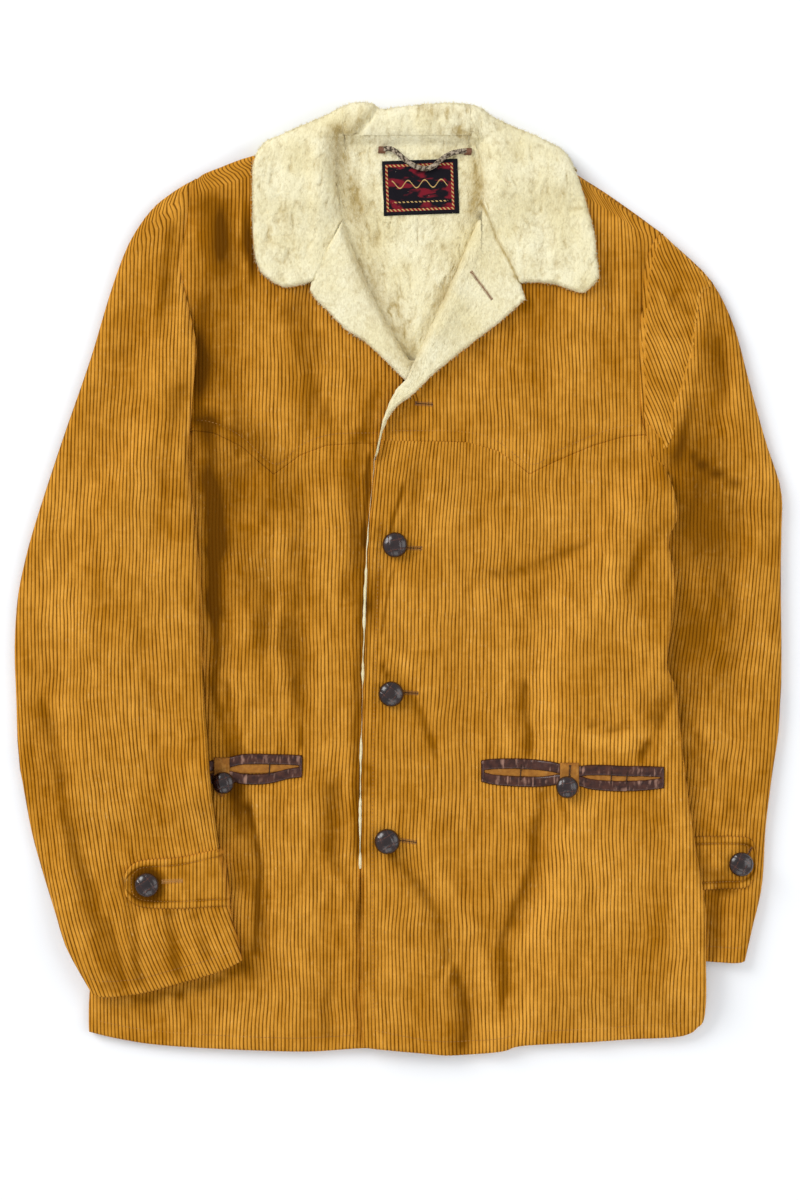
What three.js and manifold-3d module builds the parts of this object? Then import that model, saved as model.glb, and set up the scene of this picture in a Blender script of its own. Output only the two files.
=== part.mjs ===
// Sherpa lined corduroy jacket, laid out flat on its back on a table.
// Millimetres. +X is to the right of the open front, +Y runs from hem to collar, +Z is up.
// Left and right in the names are the wearer's. The origin is on the table under the chest.

import * as THREE from "three";
import { mergeVertices } from "three/addons/utils/BufferGeometryUtils.js";
import Module from "manifold-3d";

const wasm = await Module();
wasm.setup();

// Thicknesses of the cloths and the gaps between them
const seamGap = 0.4;
const bodyWall = 5;
const corduroy = 1.2;
const neckPile = 3;
const facingPile = 5.5;
const sleeveWall = 4.5;
const sleeveLoft = 12.5;
const leather = 1.4;
const sleeveClear = 1;
const tabCloth = 2.2;

// Heights that the upper layers are lifted by what lies under them
const sleeveUnderBody = sleeveLoft + 0.6;
const collarFall = 5;
const fallUnderBack = collarFall + seamGap;
const frontOverFront = bodyWall + seamGap;

// Spacing of the height lattice, which all large panels share
const latticeCell = 20;
const smallCell = 5;
const flatness = 0.02;
const straightness = 1e-4;
const prismLow = -5;
const prismHigh = 80;

// Outline of the body, from the right shoulder round to the left one

const rightShoulder = [
  { x: -181, y: 356 },
  { x: -165, y: 370 },
  { x: -131, y: 380 },
  { x: -90, y: 393 },
  { x: -58, y: 400 },
];

const leftShoulder = [
  { x: 69, y: 400 },
  { x: 94, y: 395 },
  { x: 126, y: 383 },
  { x: 149, y: 372 },
  { x: 180, y: 354 },
  { x: 216, y: 329 },
  { x: 237, y: 313 },
];

const rightArmhole = [
  { y: 356, x: -181 },
  { y: 324, x: -189 },
  { y: 297, x: -195 },
  { y: 276, x: -197 },
  { y: 245, x: -190 },
  { y: 209, x: -183 },
  { y: 173, x: -187 },
  { y: 137, x: -188 },
];

const leftArmhole = [
  { y: 313, x: 237 },
  { y: 296, x: 227 },
  { y: 266, x: 221 },
  { y: 250, x: 223 },
  { y: 229, x: 218 },
  { y: 185, x: 218 },
  { y: 144, x: 220 },
  { y: 114, x: 234 },
];

const rightSide = [
  { y: 120, x: -199 },
  { y: 99, x: -216 },
  { y: 63, x: -237 },
  { y: 18, x: -249 },
  { y: -63, x: -257 },
  { y: -198, x: -266 },
  { y: -333, x: -277 },
  { y: -380, x: -281 },
  { y: -408, x: -281 },
];

const leftSide = [
  { y: 99, x: 240 },
  { y: 77, x: 247 },
  { y: 54, x: 249 },
  { y: 36, x: 241 },
  { y: 15, x: 245 },
  { y: -8, x: 247 },
  { y: -56, x: 242 },
  { y: -77, x: 240 },
  { y: -97, x: 248 },
  { y: -125, x: 251 },
  { y: -161, x: 255 },
  { y: -216, x: 262 },
  { y: -259, x: 269 },
  { y: -299, x: 275 },
  { y: -338, x: 275 },
  { y: -392, x: 275 },
  { y: -405, x: 268 },
  { y: -412, x: 257 },
];

const rightHem = [
  { x: -279, y: -409 },
  { x: -256, y: -414 },
  { x: -218, y: -420 },
  { x: -153, y: -424 },
  { x: -85, y: -426 },
  { x: -34, y: -423 },
  { x: 4, y: -424 },
];

const leftHem = [
  { x: -28, y: -422 },
  { x: 22, y: -427 },
  { x: 53, y: -429 },
  { x: 92, y: -426 },
  { x: 110, y: -421 },
  { x: 161, y: -418 },
  { x: 207, y: -415 },
  { x: 255, y: -412 },
];

// Neck opening: the two roll lines, and where they run down into the front edges

const rightRoll = [
  { y: 399, x: -55 },
  { y: 382, x: -58 },
  { y: 354, x: -57 },
  { y: 319, x: -50 },
  { y: 292, x: -40 },
  { y: 251, x: -22 },
  { y: 221, x: -5 },
  { y: 198, x: 8 },
];

const leftRoll = [
  { y: 399, x: 66 },
  { y: 369, x: 73 },
  { y: 337, x: 74 },
  { y: 299, x: 59 },
  { y: 262, x: 43 },
  { y: 230, x: 28 },
  { y: 198, x: 13 },
];

const rightFrontEdge = [
  { y: 160, x: 6 },
  { y: 0, x: 4 },
  { y: -415, x: 4 },
];

const leftFrontEdge = [
  { y: 181, x: 6 },
  { y: 172, x: -3 },
  { y: 159, x: -10 },
  { y: 143, x: -16 },
  { y: 129, x: -18 },
  { y: 108, x: -22 },
  { y: 54, x: -27 },
  { y: 25, x: -29 },
  { y: -50, x: -31.5 },
  { y: -144, x: -34 },
  { y: -238, x: -35 },
  { y: -396, x: -34 },
  { y: -413, x: -33 },
];

// Yoke seams, each with its point between the opening and the armhole

const rightYokeSeam = [
  { x: -230, y: 135 },
  { x: -188, y: 135 },
  { x: -167, y: 132 },
  { x: -143, y: 120 },
  { x: -113, y: 95 },
  { x: -90, y: 112 },
  { x: -66, y: 121 },
  { x: -40, y: 123 },
  { x: 20, y: 123 },
];

const leftYokeSeam = [
  { x: -40, y: 126 },
  { x: 0, y: 125 },
  { x: 58, y: 124 },
  { x: 87, y: 116 },
  { x: 118, y: 95 },
  { x: 142, y: 107 },
  { x: 174, y: 121 },
  { x: 202, y: 129 },
  { x: 260, y: 134 },
];

// Collar: roll along the top, the two leaves in front, and the fall behind the neck

const collarRoll = [
  { x: -131, y: 382 },
  { x: -122, y: 395 },
  { x: -109, y: 401 },
  { x: -89, y: 410 },
  { x: -67, y: 419 },
  { x: -50, y: 428 },
  { x: -35, y: 431 },
  { x: -24, y: 429 },
  { x: -17, y: 424.5 },
  { x: -4, y: 426 },
  { x: 22, y: 429 },
  { x: 52, y: 430 },
  { x: 70, y: 427 },
  { x: 85, y: 417 },
  { x: 107, y: 407 },
  { x: 126, y: 399 },
  { x: 149, y: 386 },
];

const rightLeafEdge = [
  { x: -133, y: 332 },
  { x: -132, y: 302 },
  { x: -127, y: 280 },
  { x: -116, y: 269 },
  { x: -103, y: 263.5 },
  { x: -89, y: 266 },
  { x: -79, y: 268.5 },
];

const leftLeafEdge = [
  { x: 109, y: 269 },
  { x: 140, y: 266 },
  { x: 161, y: 259 },
  { x: 170, y: 262 },
  { x: 179, y: 271 },
  { x: 175, y: 311 },
  { x: 166, y: 345 },
  { x: 157, y: 371 },
];

// The gorge seams run from the notches to these levels on the roll lines

const rightGorge = 319;
const leftGorge = 338;

const fallEdge = [
  { x: -170, y: 440 },
  { x: -131, y: 378 },
  { x: -90, y: 369 },
  { x: -45, y: 362 },
  { x: 9, y: 358 },
  { x: 63, y: 362 },
  { x: 108, y: 371 },
  { x: 149, y: 384 },
  { x: 190, y: 440 },
];

const standSeam = 399;
const neckEdge = 408;
const standCrest = { y: 419, high: 26, half: 22 };

// Lapels, from the notch round the tip and down the outer edge

const rightLapelEdge = [
  { x: -77, y: 266 },
  { x: -81, y: 261 },
  { x: -78, y: 255 },
  { x: -50, y: 226 },
  { x: -31, y: 214 },
  { x: -13, y: 197 },
  { x: 1, y: 183 },
];

const leftLapelEdge = [
  { x: 107, y: 267 },
  { x: 113, y: 253 },
  { x: 92, y: 234 },
  { x: 52, y: 203 },
  { x: 28, y: 183 },
  { x: 12, y: 167 },
  { x: -3, y: 156 },
  { x: -11, y: 145 },
  { x: -16, y: 133 },
  { x: -21, y: 112 },
];

// Large soft folds in the fronts: a ridge or a trough along a line, with its half width

const frontFolds = [
  { x0: 5, y0: -257, x1: 55, y1: -405, half: 26, rise: -2.4 },
  { x0: 36, y0: -250, x1: 84, y1: -400, half: 26, rise: 2.2 },
  { x0: 124, y0: -200, x1: 92, y1: -375, half: 26, rise: -2.4 },
  { x0: 158, y0: -215, x1: 128, y1: -380, half: 30, rise: 2.0 },
  { x0: 20, y0: -105, x1: 44, y1: -180, half: 24, rise: 1.8 },
  { x0: 108, y0: -60, x1: 96, y1: -150, half: 24, rise: 1.8 },
  { x0: 216, y0: -150, x1: 246, y1: -80, half: 22, rise: 2.4 },
  { x0: 150, y0: 60, x1: 60, y1: 30, half: 30, rise: 1.6 },
  { x0: -124, y0: 90, x1: -132, y1: -60, half: 24, rise: 2.2 },
  { x0: -90, y0: 20, x1: -88, y1: -110, half: 22, rise: -1.6 },
  { x0: -64, y0: 60, x1: -70, y1: -120, half: 24, rise: 1.8 },
  { x0: -60, y0: -190, x1: -62, y1: -290, half: 24, rise: -1.8 },
  { x0: -128, y0: -250, x1: -150, y1: -370, half: 26, rise: 2.0 },
];

// Sleeves: each row is a flattened ring, from the inner fold to the outer one.
// The bow carries the middle of the ring towards the cuff, and armhole is the share
// of the armhole's own curve in the ring.

const rightSleeveRings = [
  { innerX: -188.5, innerY: 137, outerX: -181.5, outerY: 356, bow: 0, armhole: 1 },
  { innerX: -189.5, innerY: 131, outerX: -214, outerY: 338, bow: 0, armhole: 0.7 },
  { innerX: -190, innerY: 126, outerX: -233, outerY: 318, bow: 0, armhole: 0.4 },
  { innerX: -190, innerY: 121, outerX: -246, outerY: 295, bow: 0, armhole: 0.2 },
  { innerX: -191, innerY: 113, outerX: -262, outerY: 255, bow: 0, armhole: 0 },
  { innerX: -190.5, innerY: 103, outerX: -280, outerY: 198, bow: 0, armhole: 0 },
  { innerX: -189, innerY: 88, outerX: -305, outerY: 126, bow: 0, armhole: 0 },
  { innerX: -185, innerY: 54, outerX: -328.5, outerY: 54, bow: 0, armhole: 0 },
  { innerX: -181, innerY: 18, outerX: -338.5, outerY: 18, bow: 0, armhole: 0 },
  { innerX: -180, innerY: -18, outerX: -345.5, outerY: -18, bow: 0, armhole: 0 },
  { innerX: -178, innerY: -63, outerX: -348, outerY: -63, bow: 0, armhole: 0 },
  { innerX: -173, innerY: -108, outerX: -346.5, outerY: -108, bow: 0, armhole: 0 },
  { innerX: -168, innerY: -144, outerX: -345.5, outerY: -144, bow: 0, armhole: 0 },
  { innerX: -165.5, innerY: -166, outerX: -344, outerY: -166, bow: 0, armhole: 0 },
  { innerX: -164, innerY: -184, outerX: -340.5, outerY: -184, bow: 0, armhole: 0 },
  { innerX: -163, innerY: -202, outerX: -337.5, outerY: -202, bow: 0, armhole: 0 },
  { innerX: -161, innerY: -234, outerX: -331, outerY: -234, bow: 0, armhole: 0 },
  { innerX: -157.5, innerY: -270, outerX: -320.5, outerY: -270, bow: 2, armhole: 0 },
  { innerX: -152, innerY: -299, outerX: -310, outerY: -301, bow: 5, armhole: 0 },
  { innerX: -146, innerY: -322, outerX: -300, outerY: -331, bow: 8, armhole: 0 },
  { innerX: -142, innerY: -342, outerX: -280, outerY: -367, bow: 11, armhole: 0 },
];

const leftSleeveRings = [
  { innerX: 235, innerY: 114, outerX: 238, outerY: 313, bow: 0, armhole: 1 },
  { innerX: 238, innerY: 109, outerX: 262, outerY: 290, bow: 0, armhole: 0.7 },
  { innerX: 242.5, innerY: 101, outerX: 284, outerY: 266, bow: 0, armhole: 0.4 },
  { innerX: 248, innerY: 88, outerX: 302, outerY: 228, bow: 0, armhole: 0.2 },
  { innerX: 251.5, innerY: 76, outerX: 315, outerY: 180, bow: 0, armhole: 0 },
  { innerX: 250, innerY: 65, outerX: 330, outerY: 126, bow: 0, armhole: 0 },
  { innerX: 241, innerY: 52, outerX: 344, outerY: 82, bow: 0, armhole: 0 },
  { innerX: 225, innerY: 38, outerX: 344, outerY: 45, bow: 0, armhole: 0 },
  { innerX: 209, innerY: 18, outerX: 344, outerY: 18, bow: 0, armhole: 0 },
  { innerX: 191, innerY: -18, outerX: 344, outerY: -18, bow: 0, armhole: 0 },
  { innerX: 183, innerY: -72, outerX: 344.5, outerY: -72, bow: 0, armhole: 0 },
  { innerX: 179, innerY: -126, outerX: 343, outerY: -126, bow: 0, armhole: 0 },
  { innerX: 177, innerY: -180, outerX: 335.5, outerY: -180, bow: 0, armhole: 0 },
  { innerX: 175, innerY: -225, outerX: 330, outerY: -225, bow: 0, armhole: 0 },
  { innerX: 173, innerY: -270, outerX: 327, outerY: -275, bow: 0, armhole: 0 },
  { innerX: 174, innerY: -310, outerX: 318, outerY: -315, bow: 0, armhole: 0 },
  { innerX: 178, innerY: -340, outerX: 311.5, outerY: -344, bow: 0, armhole: 0 },
];

const sleeveInnerUnderBody = [
  { y: 130, x: 310 },
  { y: 72, x: 238 },
  { y: 58, x: 232 },
  { y: 40, x: 222 },
  { y: 18, x: 206 },
  { y: -18, x: 188 },
  { y: -72, x: 180 },
  { y: -180, x: 174 },
  { y: -310, x: 171 },
];

// Pockets: the welts' centre lines, with the half of the mouth between them

const leftPocket = [
  { x: 73, upper: -166, lower: -179 },
  { x: 108, upper: -166, lower: -181 },
  { x: 143, upper: -166.5, lower: -182 },
  { x: 162, upper: -168, lower: -183.5 },
  { x: 200, upper: -170.5, lower: -184 },
  { x: 237, upper: -171, lower: -182 },
];

const rightPocket = [
  { x: -252, upper: -170, lower: -184 },
  { x: -215, upper: -169, lower: -184 },
  { x: -182, upper: -166, lower: -183.5 },
  { x: -157, upper: -161.5, lower: -179 },
  { x: -120, upper: -161.5, lower: -178 },
  { x: -88, upper: -162, lower: -175 },
];

const weltWidth = 8;
const pocketTabs = {
  left: { left: 143, right: 161, top: -164, bottom: -197, button: { x: 149.5, y: -185.5 } },
  right: { left: -166, right: -153, top: -160, bottom: -196, button: { x: -159, y: -182.5 } },
};

// Buttons: domes of plaited leather, each on a short shank

const frontButtons = [
  { x: -4.5, y: 31.5 },
  { x: -8, y: -102.5 },
  { x: -11.5, y: -235 },
];
const cuffButtons = {
  right: { x: -226.5, y: -273 },
  left: { x: 306.5, y: -255.5 },
};
const frontButton = { diameter: 23, height: 10 };
const pocketButton = { diameter: 20, height: 9 };
const cuffButton = { diameter: 22, height: 9 };
const shank = { diameter: 7, height: 1 };

// Cuff tabs, seen from above, with the rounded end away from the sleeve's seam

const rightCuffTab = [
  { x: -167, y: -242 },
  { x: -199, y: -248.5 },
  { x: -232, y: -251.5 },
  { x: -242, y: -258 },
  { x: -247.5, y: -272.5 },
  { x: -243, y: -284 },
  { x: -231, y: -293.5 },
  { x: -199, y: -295 },
  { x: -163, y: -293 },
];

const leftCuffTab = [
  { x: 266.5, y: -231 },
  { x: 308, y: -231 },
  { x: 316, y: -234 },
  { x: 319.5, y: -242 },
  { x: 320, y: -254 },
  { x: 318, y: -268 },
  { x: 313, y: -276 },
  { x: 275, y: -278.5 },
];

// Neck label and the loop that the jacket hangs by

const label = { width: 68, height: 49, thick: 1, x: 18.6, y: 353.5, tilt: 2.1 };
const loopDiameter = 4.6;
const loopSides = 10;
const loopSteps = 26;
const loopRoute = [
  { x: -14.5, y: 387.5, z: 16.8 },
  { x: -9, y: 388, z: 16.8 },
  { x: -3.5, y: 385, z: 17 },
  { x: 2.5, y: 379.5, z: 17.9 },
  { x: 9, y: 374.5, z: 18 },
  { x: 16, y: 371, z: 18 },
  { x: 23.5, y: 369.8, z: 18 },
  { x: 30, y: 372, z: 18 },
  { x: 36, y: 377, z: 18 },
  { x: 42, y: 381.5, z: 17.7 },
  { x: 49, y: 384.5, z: 16.9 },
  { x: 57, y: 385.8, z: 16.8 },
  { x: 59.5, y: 385.8, z: 16.8 },
];
const loopTack = { length: 7, width: 6, high: 5 };
const loopTacks = {
  right: { x: -18.3, y: 387.3 },
  left: { x: 63.3, y: 385.8 },
};

// Colours of the cloths

const corduroyFinish = { color: 0xbe7828, roughness: 0.9, metalness: 0 };
const sherpaFinish = { color: 0xe8deb9, roughness: 1, metalness: 0 };
const leatherFinish = { color: 0x502d26, roughness: 0.45, metalness: 0 };
const labelFinish = { color: 0x3c0c12, roughness: 0.7, metalness: 0 };
const cordFinish = { color: 0x968c7d, roughness: 0.8, metalness: 0 };
const tackFinish = { color: 0x8a4a2c, roughness: 0.8, metalness: 0 };

const jacket = new THREE.Group();

// Reading a table at a place between its rows

function read(rows, key, value, column) {
  const first = rows[0];
  const last = rows[rows.length - 1];
  const direction = Math.sign(last[key] - first[key]);
  if ((value - first[key]) * direction <= 0) return first[column];
  if ((value - last[key]) * direction >= 0) return last[column];
  const next = rows.findIndex((row) => (row[key] - value) * direction >= 0);
  const a = rows[next - 1];
  const b = rows[next];
  return THREE.MathUtils.mapLinear(value, a[key], b[key], a[column], b[column]);
}

function ramp(value, low, high) {
  return THREE.MathUtils.smoothstep(value, low, high);
}

function points(rows) {
  return rows.map((row) => new THREE.Vector2(row.x, row.y));
}

function flowing(rows) {
  return new THREE.SplineCurve(points(rows)).getPoints((rows.length - 1) * 3);
}

function backwards(list) {
  return [...list].reverse();
}

function shifted(list, dx, dy = 0) {
  return list.map((point) => new THREE.Vector2(point.x + dx, point.y + dy));
}

// Closed meshes and solids

function solid(geometry) {
  const bare = geometry.clone();
  bare.deleteAttribute("normal");
  bare.deleteAttribute("uv");
  const merged = mergeVertices(bare, 1e-4);
  return new wasm.Manifold(new wasm.Mesh({
    numProp: 3,
    vertProperties: merged.attributes.position.array,
    triVerts: new Uint32Array(merged.index.array),
  }));
}

function geometryOf(shape) {
  const mesh = shape.getMesh();
  const geometry = new THREE.BufferGeometry();
  geometry.setAttribute("position", new THREE.BufferAttribute(mesh.vertProperties, mesh.numProp));
  geometry.setIndex(new THREE.BufferAttribute(mesh.triVerts, 1));
  return geometry;
}

function piece(name, shape, finish) {
  const geometry = shape.isBufferGeometry ? shape : geometryOf(shape);
  const mesh = new THREE.Mesh(geometry, new THREE.MeshStandardMaterial(finish));
  mesh.material.side = THREE.DoubleSide;
  mesh.name = name;
  jacket.add(mesh);
  return mesh;
}

// An outline without the points that lie on the line between their neighbours

function cornersOf(outline) {
  return outline.filter((point, n) => {
    const before = outline[(n + outline.length - 1) % outline.length];
    const after = outline[(n + 1) % outline.length];
    const turn = point.clone().sub(before).cross(after.clone().sub(point));
    return Math.abs(turn) > straightness;
  });
}

function prism(outline, low = prismLow, high = prismHigh) {
  const geometry = new THREE.ExtrudeGeometry(new THREE.Shape(cornersOf(outline)), {
    depth: high - low,
    bevelEnabled: false,
    curveSegments: 1,
  });
  geometry.translate(0, 0, low);
  return solid(geometry);
}

// A blanket is a rectangle of cloth on a square lattice, between two height functions.
// Blankets on the same lattice lie parallel, so that stacked layers never cross.

function blanket(bounds, lowAt, highAt, cell) {
  const i0 = Math.floor(bounds.min.x / cell) - 1;
  const j0 = Math.floor(bounds.min.y / cell) - 1;
  const columns = Math.ceil(bounds.max.x / cell) + 1 - i0;
  const rows = Math.ceil(bounds.max.y / cell) + 1 - j0;
  const positions = [];
  const triangles = [];
  const across = columns + 1;
  const layer = across * (rows + 1);
  for (const heightAt of [lowAt, highAt]) {
    for (let j = 0; j <= rows; j += 1) {
      for (let i = 0; i <= columns; i += 1) {
        const x = (i0 + i) * cell;
        const y = (j0 + j) * cell;
        positions.push(x, y, heightAt(x, y));
      }
    }
  }
  for (let j = 0; j < rows; j += 1) {
    for (let i = 0; i < columns; i += 1) {
      const a = j * across + i;
      const b = a + 1;
      const c = a + across;
      const d = c + 1;
      triangles.push(a, d, b, a, c, d);
      triangles.push(layer + a, layer + b, layer + d, layer + a, layer + d, layer + c);
    }
  }
  const rim = [];
  for (let i = 0; i < columns; i += 1) rim.push(i);
  for (let j = 0; j < rows; j += 1) rim.push(j * across + columns);
  for (let i = columns; i > 0; i -= 1) rim.push(rows * across + i);
  for (let j = rows; j > 0; j -= 1) rim.push(j * across);
  rim.forEach((a, n) => {
    const b = rim[(n + 1) % rim.length];
    triangles.push(a, b, layer + b, a, layer + b, layer + a);
  });
  const geometry = new THREE.BufferGeometry();
  geometry.setAttribute("position", new THREE.Float32BufferAttribute(positions, 3));
  geometry.setIndex(triangles);
  return solid(geometry);
}

function panel(outline, lowAt, highAt, cell = latticeCell) {
  const bounds = new THREE.Box2().setFromPoints(outline);
  return prism(outline).intersect(blanket(bounds, lowAt, highAt, cell)).simplify(flatness);
}

// Height of the highest of some meshes at a place

function restingOn(meshes, fallback = 0) {
  const caster = new THREE.Raycaster();
  const down = new THREE.Vector3(0, 0, -1);
  return (x, y) => {
    caster.set(new THREE.Vector3(x, y, prismHigh * 2), down);
    const hits = caster.intersectObjects(meshes);
    return hits.length > 0 ? hits[0].point.z : fallback;
  };
}

// Heights of the stacked body layers

function foldRise(x, y) {
  let rise = 0;
  for (const fold of frontFolds) {
    const dx = fold.x1 - fold.x0;
    const dy = fold.y1 - fold.y0;
    const length = Math.hypot(dx, dy);
    const along = ((x - fold.x0) * dx + (y - fold.y0) * dy) / length;
    const aside = ((x - fold.x0) * dy - (y - fold.y0) * dx) / length;
    const ends = ramp(along, -20, 20) * ramp(-along, -length - 20, 20 - length);
    rise += fold.rise * ends * (1 - ramp(Math.abs(aside), 0, fold.half));
  }
  return rise;
}

function backLow(x, y) {
  const sleeveEdge = read(sleeveInnerUnderBody, "y", y, "x");
  const overSleeve = ramp(x, sleeveEdge - 62, sleeveEdge - 14) * ramp(y, -415, -362);
  const behindFall = 1 - ramp(read(fallEdge, "x", x, "y") - y, 14, 60);
  return sleeveUnderBody * overSleeve + fallUnderBack * behindFall;
}

function backHigh(x, y) {
  return backLow(x, y) + bodyWall;
}

function liftedByFolds(x, y) {
  return Math.max(foldRise(x, y), 0) + 0.6 * ramp(foldRise(x, y), -4, 0);
}

function rightFrontLow(x, y) {
  return backHigh(x, y) + seamGap + liftedByFolds(x, y) * ramp(-x, 38, 80);
}

function rightFrontHigh(x, y) {
  return rightFrontLow(x, y) + bodyWall;
}

function leftFrontLow(x, y) {
  const lap = ramp(-x, -70, -34) * ramp(-y, -275, -220);
  return backHigh(x, y) + seamGap + lap * frontOverFront + liftedByFolds(x, y) * ramp(x, 20, 70);
}

function leftFrontHigh(x, y) {
  return leftFrontLow(x, y) + bodyWall;
}

function liningLow(x, y) {
  return backHigh(x, y) + seamGap;
}

function liningHigh(x, y) {
  return liningLow(x, y) + neckPile;
}

// Armhole edges, sampled where the sleeve rings have their points

const ringSteps = 10;

function shareOf(step) {
  return 0.5 - 0.5 * Math.cos((Math.PI * step) / ringSteps);
}

function armholePoints(rings, armhole) {
  const [first] = rings;
  const list = [];
  for (let step = 0; step <= ringSteps; step += 1) {
    const y = THREE.MathUtils.lerp(first.innerY, first.outerY, shareOf(step));
    list.push(new THREE.Vector2(read(armhole, "y", y, "x"), y));
  }
  return list;
}

const rightArmholeLine = armholePoints(rightSleeveRings, rightArmhole);
const leftArmholeLine = armholePoints(leftSleeveRings, leftArmhole);

// Body outline and the panels cut from it

const neckGap = seamGap + 0.4;
const rightArmholeEdge = shifted(rightArmholeLine, neckGap);
const leftArmholeEdge = shifted(leftArmholeLine, -neckGap);

const backOutline = [
  ...flowing(rightShoulder),
  new THREE.Vector2(-50, neckEdge),
  new THREE.Vector2(61, neckEdge),
  ...flowing(leftShoulder),
  ...backwards(leftArmholeEdge),
  ...flowing(leftSide),
  ...backwards(flowing(leftHem)).slice(1, -1),
  ...backwards(flowing(rightHem)).filter((point) => point.x < -34),
  ...backwards(flowing(rightSide)),
  ...rightArmholeEdge,
];

const rollInset = 5;

const rightFrontOutline = [
  ...flowing(rightShoulder),
  ...shifted(flowing(rightRoll), -rollInset),
  ...points(rightFrontEdge),
  ...backwards(flowing(rightHem)),
  ...backwards(flowing(rightSide)),
  ...rightArmholeEdge,
];

const leftFrontOutline = [
  ...backwards(shifted(flowing(leftRoll), rollInset)),
  ...flowing(leftShoulder),
  ...backwards(leftArmholeEdge),
  ...flowing(leftSide),
  ...backwards(flowing(leftHem)).slice(1, -1),
  ...backwards(flowing(leftFrontEdge)),
];

// Cuts the upper part of a panel off along its seam, with the seam's gap

function cutAlong(shape, seam) {
  const line = points(seam);
  const above = [...line, new THREE.Vector2(line[line.length - 1].x, 500), new THREE.Vector2(line[0].x, 500)];
  const below = shifted(above, 0, -seamGap);
  return {
    yoke: shape.intersect(prism(above)),
    lower: shape.subtract(prism(below)),
  };
}

// Sleeve: rings of wall between an outer and an inner loop, open at armhole and cuff

function sleeve(rings, armholeLine, floorAt) {
  const around = ringSteps * 2;
  const positions = [];
  const first = rings[0];
  for (const ring of rings) {
    const inner = new THREE.Vector2(ring.innerX, ring.innerY);
    const outer = new THREE.Vector2(ring.outerX, ring.outerY);
    const length = inner.distanceTo(outer);
    for (const inset of [0, sleeveWall]) {
      for (let step = 0; step < around; step += 1) {
        const turn = (Math.PI * step) / ringSteps;
        const share = 0.5 - 0.5 * Math.cos(turn);
        const held = inset / length + share * (1 - (2 * inset) / length);
        const place = inner.clone().lerp(outer, held);
        const homeX = THREE.MathUtils.lerp(first.innerX, first.outerX, held);
        const homeY = THREE.MathUtils.lerp(first.innerY, first.outerY, held);
        place.x += ring.armhole * (read(armholeLine, "y", homeY, "x") - homeX);
        place.y -= ring.bow * 4 * share * (1 - share);
        const swell = Math.sin(turn);
        const half = (sleeveLoft / 2 - inset) * Math.sign(swell) * Math.abs(swell) ** 0.4;
        positions.push(place.x, place.y, floorAt(place.x, place.y) + sleeveLoft / 2 + half);
      }
    }
  }
  const triangles = [];
  const quad = (a, b, c, d) => triangles.push(a, b, c, a, c, d);
  for (let r = 0; r < rings.length; r += 1) {
    for (let step = 0; step < around; step += 1) {
      const next = (step + 1) % around;
      const here = r * around * 2;
      const there = here + around * 2;
      if (r + 1 < rings.length) {
        quad(here + step, here + next, there + next, there + step);
        quad(here + around + step, there + around + step, there + around + next, here + around + next);
      }
      if (r === 0) quad(here + step, here + around + step, here + around + next, here + next);
      if (r === rings.length - 1) quad(here + step, here + next, here + around + next, here + around + step);
    }
  }
  const geometry = new THREE.BufferGeometry();
  geometry.setAttribute("position", new THREE.Float32BufferAttribute(positions, 3));
  geometry.setIndex(triangles);
  return geometry;
}

// Turns a closed mesh that came out inside out

function facingOut(geometry) {
  const shape = solid(geometry);
  if (shape.volume() > 0) return shape;
  const index = geometry.index.array;
  for (let n = 0; n < index.length; n += 3) {
    const kept = index[n];
    index[n] = index[n + 1];
    index[n + 1] = kept;
  }
  return solid(geometry);
}

// The right sleeve lies over the front and droops to the table outside the body

function rightSleeveFloor(x, y) {
  const bodyEdge = y > 137 ? read(rightArmhole, "y", y, "x") : read(rightSide, "y", y, "x");
  const over = ramp(x, bodyEdge - 58, bodyEdge - 20) * ramp(-y, -315, -185);
  const onBody = rightFrontHigh(Math.max(x, bodyEdge), Math.min(y, 137)) + sleeveClear;
  const onPocket = 4.2 * ramp(y, -232, -202) * ramp(-y, 128, 158);
  const onButton = 7.5 * ramp(y, -212, -196) * ramp(-y, 152, 170) * ramp(x, -215, -180);
  return over * (onBody + onPocket + onButton);
}

// Back, fronts and yokes

const back = panel(backOutline, backLow, backHigh);
piece("back_body", back, corduroyFinish);

const rightCut = cutAlong(panel(rightFrontOutline, rightFrontLow, rightFrontHigh), rightYokeSeam);
piece("front_right_yoke", rightCut.yoke, corduroyFinish);
const rightPanel = piece("front_right_panel", rightCut.lower, corduroyFinish);

const leftCut = cutAlong(panel(leftFrontOutline, leftFrontLow, leftFrontHigh), leftYokeSeam);
piece("front_left_yoke", leftCut.yoke, corduroyFinish);
const leftPanel = piece("front_left_panel", leftCut.lower, corduroyFinish);

// Sleeves

const rightSleeveShape = sleeve(rightSleeveRings, rightArmholeLine, rightSleeveFloor);
const rightSleeve = piece("sleeve_right", facingOut(rightSleeveShape), corduroyFinish);
const leftSleeveShape = sleeve(leftSleeveRings, leftArmholeLine, () => 0);
const leftSleeve = piece("sleeve_left", facingOut(leftSleeveShape), corduroyFinish);

// Neck lining, kept clear of the rolls on both sides

const liningOutline = [
  new THREE.Vector2(-54, standSeam - seamGap),
  new THREE.Vector2(64, standSeam - seamGap),
  ...shifted(flowing(leftRoll), -neckGap).slice(1, -2),
  ...backwards(shifted(flowing(rightRoll), neckGap)).slice(1, -1),
];
const lining = piece("back_neck_lining", panel(liningOutline, liningLow, liningHigh), sherpaFinish);

// Layers of a turned collar or lapel over a front: corduroy, then the pile

function turnedOver(frontHigh) {
  const turnLow = (x, y) => frontHigh(x, y) + seamGap;
  const turnHigh = (x, y) => turnLow(x, y) + corduroy;
  const pileLow = (x, y) => turnHigh(x, y) + seamGap;
  const pileHigh = (x, y) => pileLow(x, y) + facingPile;
  return { turnLow, turnHigh, pileLow, pileHigh };
}

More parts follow.
